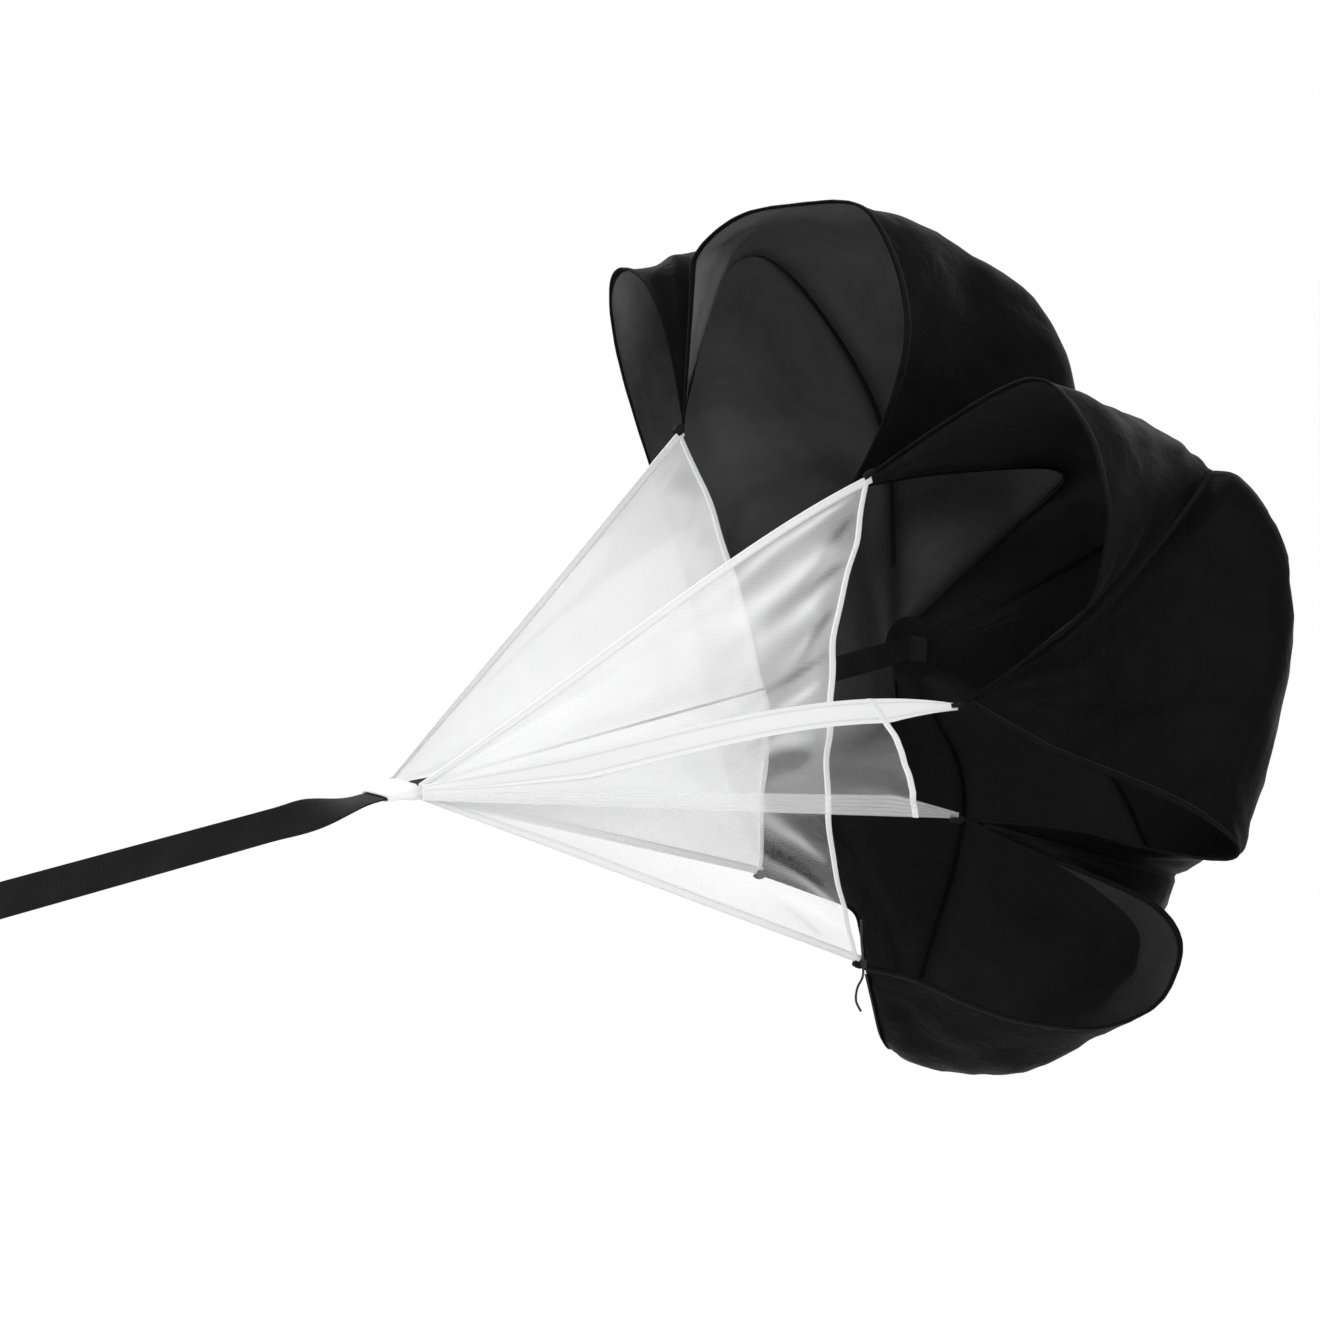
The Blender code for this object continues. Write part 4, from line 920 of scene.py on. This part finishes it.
def loop_places():
    """The sewn tail and the loop round the eye's bar."""
    lift = STRAP_THICKNESS + GAP
    meet = EYE_BAR + 4 * LOOP_BEND
    tail = np.linspace(EYE_BAR + LOOP_LENGTH, meet, TAIL_STEPS)
    places = [(spot(x, lift), UP, ACROSS) for x in tail]
    neck = math.radians(LOOP_NECK_DEG)
    for k in range(LOOP_STEPS + 1):
        angle = neck + (2 * math.pi - 2 * neck) * k / LOOP_STEPS
        out = spot(math.cos(angle), math.sin(angle))
        places.append((spot(EYE_BAR) + out * LOOP_BEND, UP, out))
    places.append((spot(meet), UP, -ACROSS))
    return places


def foot_places():
    """The strap's end, turned flat against the crown."""
    places = []
    for k in range(1, FOOT_STEPS + 1):
        angle = math.pi / 2 * k / FOOT_STEPS
        out = spot(math.sin(angle), math.cos(angle))
        places.append((spot(STRAP_END, -FOOT_BEND) + out * FOOT_BEND, UP, -out))
    for step in np.linspace(FOOT_START_SHARE, 1.0, FOOT_STEPS):
        places.append((spot(STRAP_END + FOOT_BEND, -FOOT_BEND - FOOT_LENGTH * step), UP, spot(-1.0)))
    return places


def tow_webbing():
    places = loop_places() + strap_places() + foot_places()
    sized = [(*place, STRAP_WIDTH, STRAP_THICKNESS) for place in places]
    strap = flat_strip("tow_webbing", "webbing", sized, [place[0] for place in places], STRAP_WIDTH)
    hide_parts("tow_strap")


LACE_STEPS = 40
LACE_ROUNDING = 4


def lacing():
    """The thin cord at the lower middle corner, from the hem to its loose end."""
    path = even_curve(share_points(LACE_SHARES), LACE_STEPS)
    curve = bpy.data.curves.new("lower_lacing", "CURVE")
    curve.dimensions = "3D"
    curve.bevel_depth = LACE_RADIUS
    curve.bevel_resolution = LACE_ROUNDING
    curve.use_fill_caps = True
    line = curve.splines.new("POLY")
    line.points.add(len(path) - 1)
    for point, place in zip(line.points, path):
        point.co = (*place, 1.0)
    lace = add_to_part("lower_lacing", curve, "cord")
    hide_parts("corner_lacing")


KNOT_AT = 3
KNOT_TURNS = 3
KNOT_TURN_STEPS = 24
KNOT_LENGTH = 0.0085
KNOT_RADIUS = 2.05 * LACE_RADIUS
KNOT_LOOSE_SHARE = 0.08
KNOT_SIDES = 8
KNOT_UV_STEP = 0.001


def lace_knot():
    """The lacing's knot at the lower middle corner: three turns wrapped round the cord."""
    centre, ahead = share_points(LACE_SHARES[KNOT_AT:KNOT_AT + 2])
    along = unit(ahead - centre)
    side = unit(np.cross(along, spot(1.0)))
    other = np.cross(along, side)
    path = []
    steps = KNOT_TURNS * KNOT_TURN_STEPS
    for k in range(steps + 1):
        angle = 2 * math.pi * k / KNOT_TURN_STEPS
        ring = KNOT_RADIUS * (1 + KNOT_LOOSE_SHARE * math.sin(3 * angle))
        out = side * math.cos(angle) + other * math.sin(angle)
        path.append(centre + along * (k / steps - 0.5) * KNOT_LENGTH + ring * out)
    turns = [2 * math.pi * k / KNOT_SIDES for k in range(KNOT_SIDES)]
    sections = []
    for place, step in zip(path, np.gradient(np.array(path), axis=0)):
        out = unit(place - centre - along * np.dot(place - centre, along))
        across = unit(np.cross(step, out))
        round_it = [out * math.cos(turn) + across * math.sin(turn) for turn in turns]
        sections.append(place + LACE_RADIUS * np.array(round_it))
    widths = [KNOT_UV_STEP * min(k, KNOT_SIDES - k) for k in range(KNOT_SIDES)]
    band_piece("lace_knot", "cord", sections, path, widths, ROUND_BELOW_DEG)


def feed(tree, slot, value):
    """Links a socket, or sets a plain value."""
    if isinstance(value, bpy.types.NodeSocket):
        tree.links.new(value, slot)
    else:
        slot.default_value = value


def add_node(tree, kind, **values):
    """A shader node with its named settings or inputs filled in."""
    made = tree.nodes.new(kind)
    for key, value in values.items():
        if hasattr(made, key):
            setattr(made, key, value)
        else:
            feed(tree, made.inputs[key.replace("_", " ")], value)
    return made


def math_node(tree, operation, *values):
    made = add_node(tree, "ShaderNodeMath", operation=operation)
    for slot, value in zip(made.inputs, values):
        feed(tree, slot, value)
    return made.outputs[0]


def placed_node(tree, kind, space="Object", **values):
    """A node that reads a place on the piece, in its own space or on its UV map, which is in metres."""
    place = add_node(tree, "ShaderNodeTexCoord")
    return add_node(tree, kind, Vector=place.outputs[space], **values)


def colour_mix(tree, share, first, second):
    mix = add_node(tree, "ShaderNodeMix", data_type="RGBA", Factor=share)
    feed(tree, mix.inputs[6], first)
    feed(tree, mix.inputs[7], second)
    return mix.outputs[2]


def shader_mix(tree, share, first, second):
    mix = add_node(tree, "ShaderNodeMixShader", Fac=share)
    feed(tree, mix.inputs[1], first)
    feed(tree, mix.inputs[2], second)
    return mix.outputs["Shader"]


def carried_value(tree, name):
    return add_node(tree, "ShaderNodeAttribute", attribute_name=name).outputs["Fac"]


def grey(level, blue=None):
    return (level, level, blue or level, 1.0)


def base_material(name, colour, roughness, metallic=0.0, specular=0.5, sheen=0.0):
    made = bpy.data.materials.new(name)
    made.use_nodes = True
    shader = made.node_tree.nodes["Principled BSDF"]
    plain = {"Base Color": colour, "Roughness": roughness, "Metallic": metallic,
             "Specular IOR Level": specular, "Sheen Weight": sheen}
    for key, value in plain.items():
        shader.inputs[key].default_value = value
    return made, made.node_tree, shader


# Where the slow changes of colour are at their darkest and palest
DRIFT_DARK = 0.3
DRIFT_PALE = 0.72


def colour_drift(tree, shader, low, high, scale, distortion=0.0):
    """Slow changes of colour over the surface."""
    drift = placed_node(tree, "ShaderNodeTexNoise", Scale=scale, Detail=4.0, Roughness=0.6,
                        Distortion=distortion)
    ramp = add_node(tree, "ShaderNodeValToRGB", Fac=drift.outputs["Fac"])
    for stop, position, colour in zip(ramp.color_ramp.elements, (DRIFT_DARK, DRIFT_PALE), (low, high)):
        stop.position = position
        stop.color = colour
    feed(tree, shader.inputs["Base Color"], ramp.outputs["Color"])
    return ramp.outputs["Color"]


def roughness_drift(tree, shader, low, high, scale):
    drift = placed_node(tree, "ShaderNodeTexNoise", Scale=scale, Detail=3.0)
    span = add_node(tree, "ShaderNodeMapRange", Value=drift.outputs["Fac"], To_Min=low, To_Max=high)
    feed(tree, shader.inputs["Roughness"], span.outputs["Result"])


# How many waves Blender's wave texture gives at a scale of one, times a pitch in metres
WAVE_PITCH = 0.314


def weave(tree, across, along):
    """The height of a plain weave, from two crossed waves of the given pitches."""
    waves = []
    for direction, pitch in (("X", across), ("Y", along)):
        wave = placed_node(tree, "ShaderNodeTexWave", "UV", bands_direction=direction,
                           Scale=WAVE_PITCH / pitch, Distortion=0.6, Detail=1.0)
        waves.append(wave.outputs["Fac"])
    return math_node(tree, "MAXIMUM", *waves)


# The gap between stitches as a share of their pitch, and half the thread's width
STITCH_GAP_SHARE = 0.14
STITCH_HALF = 0.00032


def stitches(tree, lines, pitch):
    """One where a stitch lies: dashes along lines at the given places across the strip."""
    parts = placed_node(tree, "ShaderNodeSeparateXYZ", "UV")
    dash = math_node(tree, "PINGPONG", parts.outputs["Y"], pitch / 2)
    thread = math_node(tree, "GREATER_THAN", dash, pitch * STITCH_GAP_SHARE)
    on_line = [math_node(tree, "COMPARE", parts.outputs["X"], at, STITCH_HALF) for at in lines]
    if len(on_line) > 1:
        on_line = [math_node(tree, "MAXIMUM", *on_line)]
    return math_node(tree, "MULTIPLY", on_line[0], thread)


def add_bump(tree, shader, height, distance, strength, before=None):
    bump = add_node(tree, "ShaderNodeBump", Strength=strength, Distance=distance, Height=height)
    if before is not None:
        feed(tree, bump.inputs["Normal"], before)
    feed(tree, shader.inputs["Normal"], bump.outputs["Normal"])
    return bump.outputs["Normal"]


def sewn_face(tree, shader, mask, thread, ribs, ribs_depth, ribs_strength, thread_depth=0.0006):
    """A woven strip with stitches on it: the thread's colour, the weave's ribs and the raised thread."""
    woven = shader.inputs["Base Color"].links[0].from_socket
    feed(tree, shader.inputs["Base Color"], colour_mix(tree, mask, woven, thread))
    base = add_bump(tree, shader, weave(tree, *ribs), ribs_depth, ribs_strength)
    add_bump(tree, shader, mask, thread_depth, 0.8, before=base)


def lit_through(tree, shader, colour, share, film=None):
    """Thin cloth also passes on light from its other face, by less where its film is see-through."""
    through = add_node(tree, "ShaderNodeBsdfTranslucent", Color=colour).outputs["BSDF"]
    if film is not None:
        clear = add_node(tree, "ShaderNodeBsdfTransparent").outputs["BSDF"]
        through = shader_mix(tree, film, clear, through)
    surface = shader_mix(tree, share, shader.outputs["BSDF"], through)
    feed(tree, tree.nodes["Material Output"].inputs["Surface"], surface)


def nylon_material():
    """Rip-stop nylon: a black coated outer face, light painted on the inner face as a paler colour, creases
    and a fine weave.
    """
    made, tree, shader = base_material("black_nylon", grey(0.003), 0.5, specular=0.035, sheen=0.02)
    shader.inputs["Sheen Roughness"].default_value = 0.35
    outer = colour_drift(tree, shader, grey(0.0022, 0.0023), grey(0.0044, 0.0046), scale=5.0)
    # The paler inner colour is painted light, for the light that falls into the canopy; the share carried on
    # the piece sets where and how much of it shows
    inner = colour_drift(tree, shader, grey(0.085, 0.086), grey(0.175, 0.178), scale=5.0, distortion=1.1)
    face = add_node(tree, "ShaderNodeNewGeometry")
    share = math_node(tree, "MULTIPLY", face.outputs["Backfacing"], carried_value(tree, "painted_light"))
    feed(tree, shader.inputs["Base Color"], colour_mix(tree, share, outer, inner))
    roughness_drift(tree, shader, low=0.38, high=0.54, scale=14.0)
    lit_through(tree, shader, grey(0.016, 0.0162), share=0.2)
    fine = add_bump(tree, shader, weave(tree, across=0.0011, along=0.0011), distance=0.00012, strength=0.35)
    crease = placed_node(tree, "ShaderNodeTexNoise", Scale=30.0, Detail=6.0, Roughness=0.66, Distortion=0.4)
    add_bump(tree, shader, crease.outputs["Fac"], distance=0.006, strength=0.6, before=fine)
    return made


def seam_material():
    made, tree, shader = base_material("sewn_nylon", grey(0.004), 0.6, specular=0.05)
    colour_drift(tree, shader, grey(0.003, 0.0031), grey(0.006, 0.0062), scale=30.0)
    mask = stitches(tree, lines=(0.0018, 0.0046), pitch=0.0036)
    sewn_face(tree, shader, mask, grey(0.024), (0.0009, 0.0009), ribs_depth=0.0001, ribs_strength=0.4)
    lit_through(tree, shader, grey(0.04, 0.041), share=0.16)
    return made


def binding_material():
    made, tree, shader = base_material("rim_binding", grey(0.003), 0.6, specular=0.05)
    colour_drift(tree, shader, grey(0.002), grey(0.005), scale=24.0)
    mask = stitches(tree, lines=(0.007,), pitch=0.004)
    sewn_face(tree, shader, mask, grey(0.028), (0.0016, 0.0008), ribs_depth=0.0002, ribs_strength=0.6)
    return made


# The cells of the knit: how many to a metre, and the places across a thread where it is thickest and gone
CELL_SCALE = 560.0
THREAD_MIDDLE = 0.06
THREAD_EDGE = 0.26


def mesh_material(name, cover=None):
    """Knitted see-through mesh. cover is what its threads stop, or None where the piece carries it."""
    made, tree, shader = base_material(name, grey(0.9, 0.905), 0.75, specular=0.2, sheen=0.1)
    colour_drift(tree, shader, grey(0.87, 0.875), grey(0.93, 0.935), scale=8.0)
    cells = placed_node(tree, "ShaderNodeTexVoronoi", "UV", voronoi_dimensions="2D",
                        feature="DISTANCE_TO_EDGE", Scale=CELL_SCALE, Randomness=0.35)
    threads = add_node(tree, "ShaderNodeMapRange", Value=cells.outputs["Distance"], From_Min=THREAD_MIDDLE,
                       From_Max=THREAD_EDGE, To_Min=0.12, To_Max=-0.09)
    film = add_node(tree, "ShaderNodeMath", operation="ADD", use_clamp=True)
    feed(tree, film.inputs[0], threads.outputs["Result"])
    feed(tree, film.inputs[1], carried_value(tree, "cover") if cover is None else cover)
    feed(tree, shader.inputs["Alpha"], film.outputs[0])
    lit_through(tree, shader, grey(0.9, 0.905), share=0.31, film=film.outputs[0])
    return made


def tape_material():
    """White woven tape with two rows of stitches."""
    made, tree, shader = base_material("white_tape", grey(0.96), 0.75, specular=0.3, sheen=0.2)
    colour_drift(tree, shader, grey(0.95), grey(0.98), scale=22.0)
    mask = stitches(tree, lines=(0.0018, 0.0078), pitch=0.0034)
    sewn_face(tree, shader, mask, grey(0.8, 0.81), (0.0011, 0.0008), ribs_depth=0.00018, ribs_strength=0.5,
              thread_depth=0.0005)
    lit_through(tree, shader, grey(0.92, 0.925), share=0.25)
    return made


def webbing_material():
    """Black flat webbing: ribs along its length crossed by the weft, rubbed paler in places."""
    made, tree, shader = base_material("black_webbing", grey(0.006), 0.72, specular=0.15)
    colour_drift(tree, shader, grey(0.004), grey(0.01), scale=18.0)
    roughness_drift(tree, shader, low=0.62, high=0.82, scale=30.0)
    add_bump(tree, shader, weave(tree, across=0.0024, along=0.0013), distance=0.00045, strength=0.9)
    return made


def cord_material():
    made, tree, shader = base_material("black_cord", grey(0.01), 0.7, specular=0.3, sheen=0.2)
    colour_drift(tree, shader, grey(0.006), grey(0.018), scale=160.0)
    strands = placed_node(tree, "ShaderNodeTexWave", bands_direction="DIAGONAL", Scale=260.0, Distortion=1.0)
    add_bump(tree, shader, strands.outputs["Fac"], distance=0.0003, strength=0.7)
    return made


def steel_material():
    """Nickel plate with fine rubbing marks and softened edges."""
    made, tree, shader = base_material("plated_steel", grey(0.62, 0.64), 0.28, metallic=1.0)
    colour_drift(tree, shader, grey(0.52, 0.53), grey(0.68, 0.7), scale=60.0)
    roughness_drift(tree, shader, low=0.2, high=0.42, scale=90.0)
    marks = placed_node(tree, "ShaderNodeTexNoise", Scale=900.0, Detail=2.0)
    soft = add_node(tree, "ShaderNodeBevel", Radius=0.0004).outputs["Normal"]
    add_bump(tree, shader, marks.outputs["Fac"], distance=0.00003, strength=0.35, before=soft)
    return made


CAMERA_PLACE = (-0.7958, -1.4642, 0.5451)
CAMERA_YAW_DEG = 50.0
CAMERA_PITCH_DEG = 12.0
LENS_MM = 61.69
SENSOR_MM = 36.0
VIEW_END = 60.0

# Levels at which the sky lights the scene and the floor glows to a viewer, and the floor's size and drop
SKY_LEVEL = 0.5
FLOOR_GLOW = 0.985
FLOOR_REACH = 30.0
FLOOR_DROP = 0.3

# Each lamp's place, what it points at, its size and its power
LAMPS = {
    "front": ((-0.8, -2.6, 2.4), (1.1, 0.0, 0.0), 2.4, 88.0),
    "back": ((1.9, 3.0, 3.2), (1.4, 0.2, 0.2), 1.6, 150.0),
    "side": ((4.4, -0.4, 1.4), (1.5, -0.1, 0.1), 1.2, 7.0),
}


def aimed(thing, place, way):
    thing.location = place
    thing.rotation_euler = Vector(way).to_track_quat("-Z", "Y").to_euler()


def camera():
    """The photograph's view, from the runner's left front of the canopy, a little above the tow line."""
    yaw, pitch = math.radians(CAMERA_YAW_DEG), math.radians(CAMERA_PITCH_DEG)
    made = bpy.data.cameras.new("photo_camera")
    made.lens = LENS_MM
    made.sensor_width = SENSOR_MM
    made.clip_end = VIEW_END
    thing = add_object("photo_camera", made)
    level = math.cos(pitch)
    aimed(thing, CAMERA_PLACE, (math.sin(yaw) * level, math.cos(yaw) * level, -math.sin(pitch)))
    bpy.context.scene.camera = thing


def lamp(name, place, target, size, power):
    made = bpy.data.lights.new(name, "AREA")
    made.shape = "DISK"
    made.size = size
    made.energy = power
    aimed(add_object(name, made), place, Vector(target) - Vector(place))


def seen_directly(tree, low, high):
    """low for rays that light things, high for those by which the background itself is seen."""
    path = add_node(tree, "ShaderNodeLightPath")
    total = path.outputs["Is Camera Ray"]
    for ray in ("Is Glossy Ray", "Is Transmission Ray"):
        total = math_node(tree, "MAXIMUM", total, path.outputs[ray])
    return add_node(tree, "ShaderNodeMapRange", Value=total, To_Min=low, To_Max=high).outputs["Result"]


def backdrop():
    """An even sky that is white to the viewer."""
    world = bpy.data.worlds.new("studio")
    world.use_nodes = True
    sky = world.node_tree.nodes["Background"]
    sky.inputs["Color"].default_value = grey(1.0)
    feed(world.node_tree, sky.inputs["Strength"], seen_directly(world.node_tree, SKY_LEVEL, 1.0))
    bpy.context.scene.world = world


def floor():
    """A white floor below the part, which keeps its shadow."""
    low, _ = CAD_BOX
    mesh = bpy.data.meshes.new("floor")
    signs = ((-1, -1), (1, -1), (1, 1), (-1, 1))
    corners = [(x * FLOOR_REACH, y * FLOOR_REACH, low.z - FLOOR_DROP) for x, y in signs]
    mesh.from_pydata(corners, [], [(0, 1, 2, 3)])
    made, tree, shader = base_material("floor", grey(1.0), 0.9)
    glow = add_node(tree, "ShaderNodeEmission", Strength=1.0)
    seen = seen_directly(tree, 0.0, FLOOR_GLOW)
    surface = shader_mix(tree, seen, shader.outputs["BSDF"], glow.outputs["Emission"])
    feed(tree, tree.nodes["Material Output"].inputs["Surface"], surface)
    mesh.materials.append(made)
    add_object("floor", mesh)


def dress_steel():
    """The snap hook keeps its solids and gets its plated finish."""
    for name in ("hook_body", "spring_bolt", "thumb_stud", "strap_eye"):
        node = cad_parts[name]
        for place in node.material_slots:
            place.material = MATERIALS["steel"]


MATERIALS = {
    "nylon": nylon_material(),
    "seam": seam_material(),
    "binding": binding_material(),
    "mesh": mesh_material("white_mesh"),
    "fold": mesh_material("folded_mesh", cover=0.22),
    "tape": tape_material(),
    "webbing": webbing_material(),
    "cord": cord_material(),
    "steel": steel_material(),
}

# Each gore's flat size and its cloth's area
GORE_SHEETS = by_gore(((0.53, 0.76), 0.195), ((0.52, 0.74), 0.18), ((0.16, 0.68), 0.055))

camera()
backdrop()
for lamp_name, lamp_values in LAMPS.items():
    lamp(lamp_name, *lamp_values)
floor()
lobe_shapes = canopy()
rim_tapes(lobe_shapes)
seam_strips(lobe_shapes)
crown_disc()
for gore_name, (flat_size, flat_area) in GORE_SHEETS.items():
    panel = mesh_gore(gore_name)
corner_tabs()
cuff()
tow_webbing()
lacing()
lace_knot()
dress_steel()

view = bpy.context.scene.view_settings
view.view_transform = "Standard"
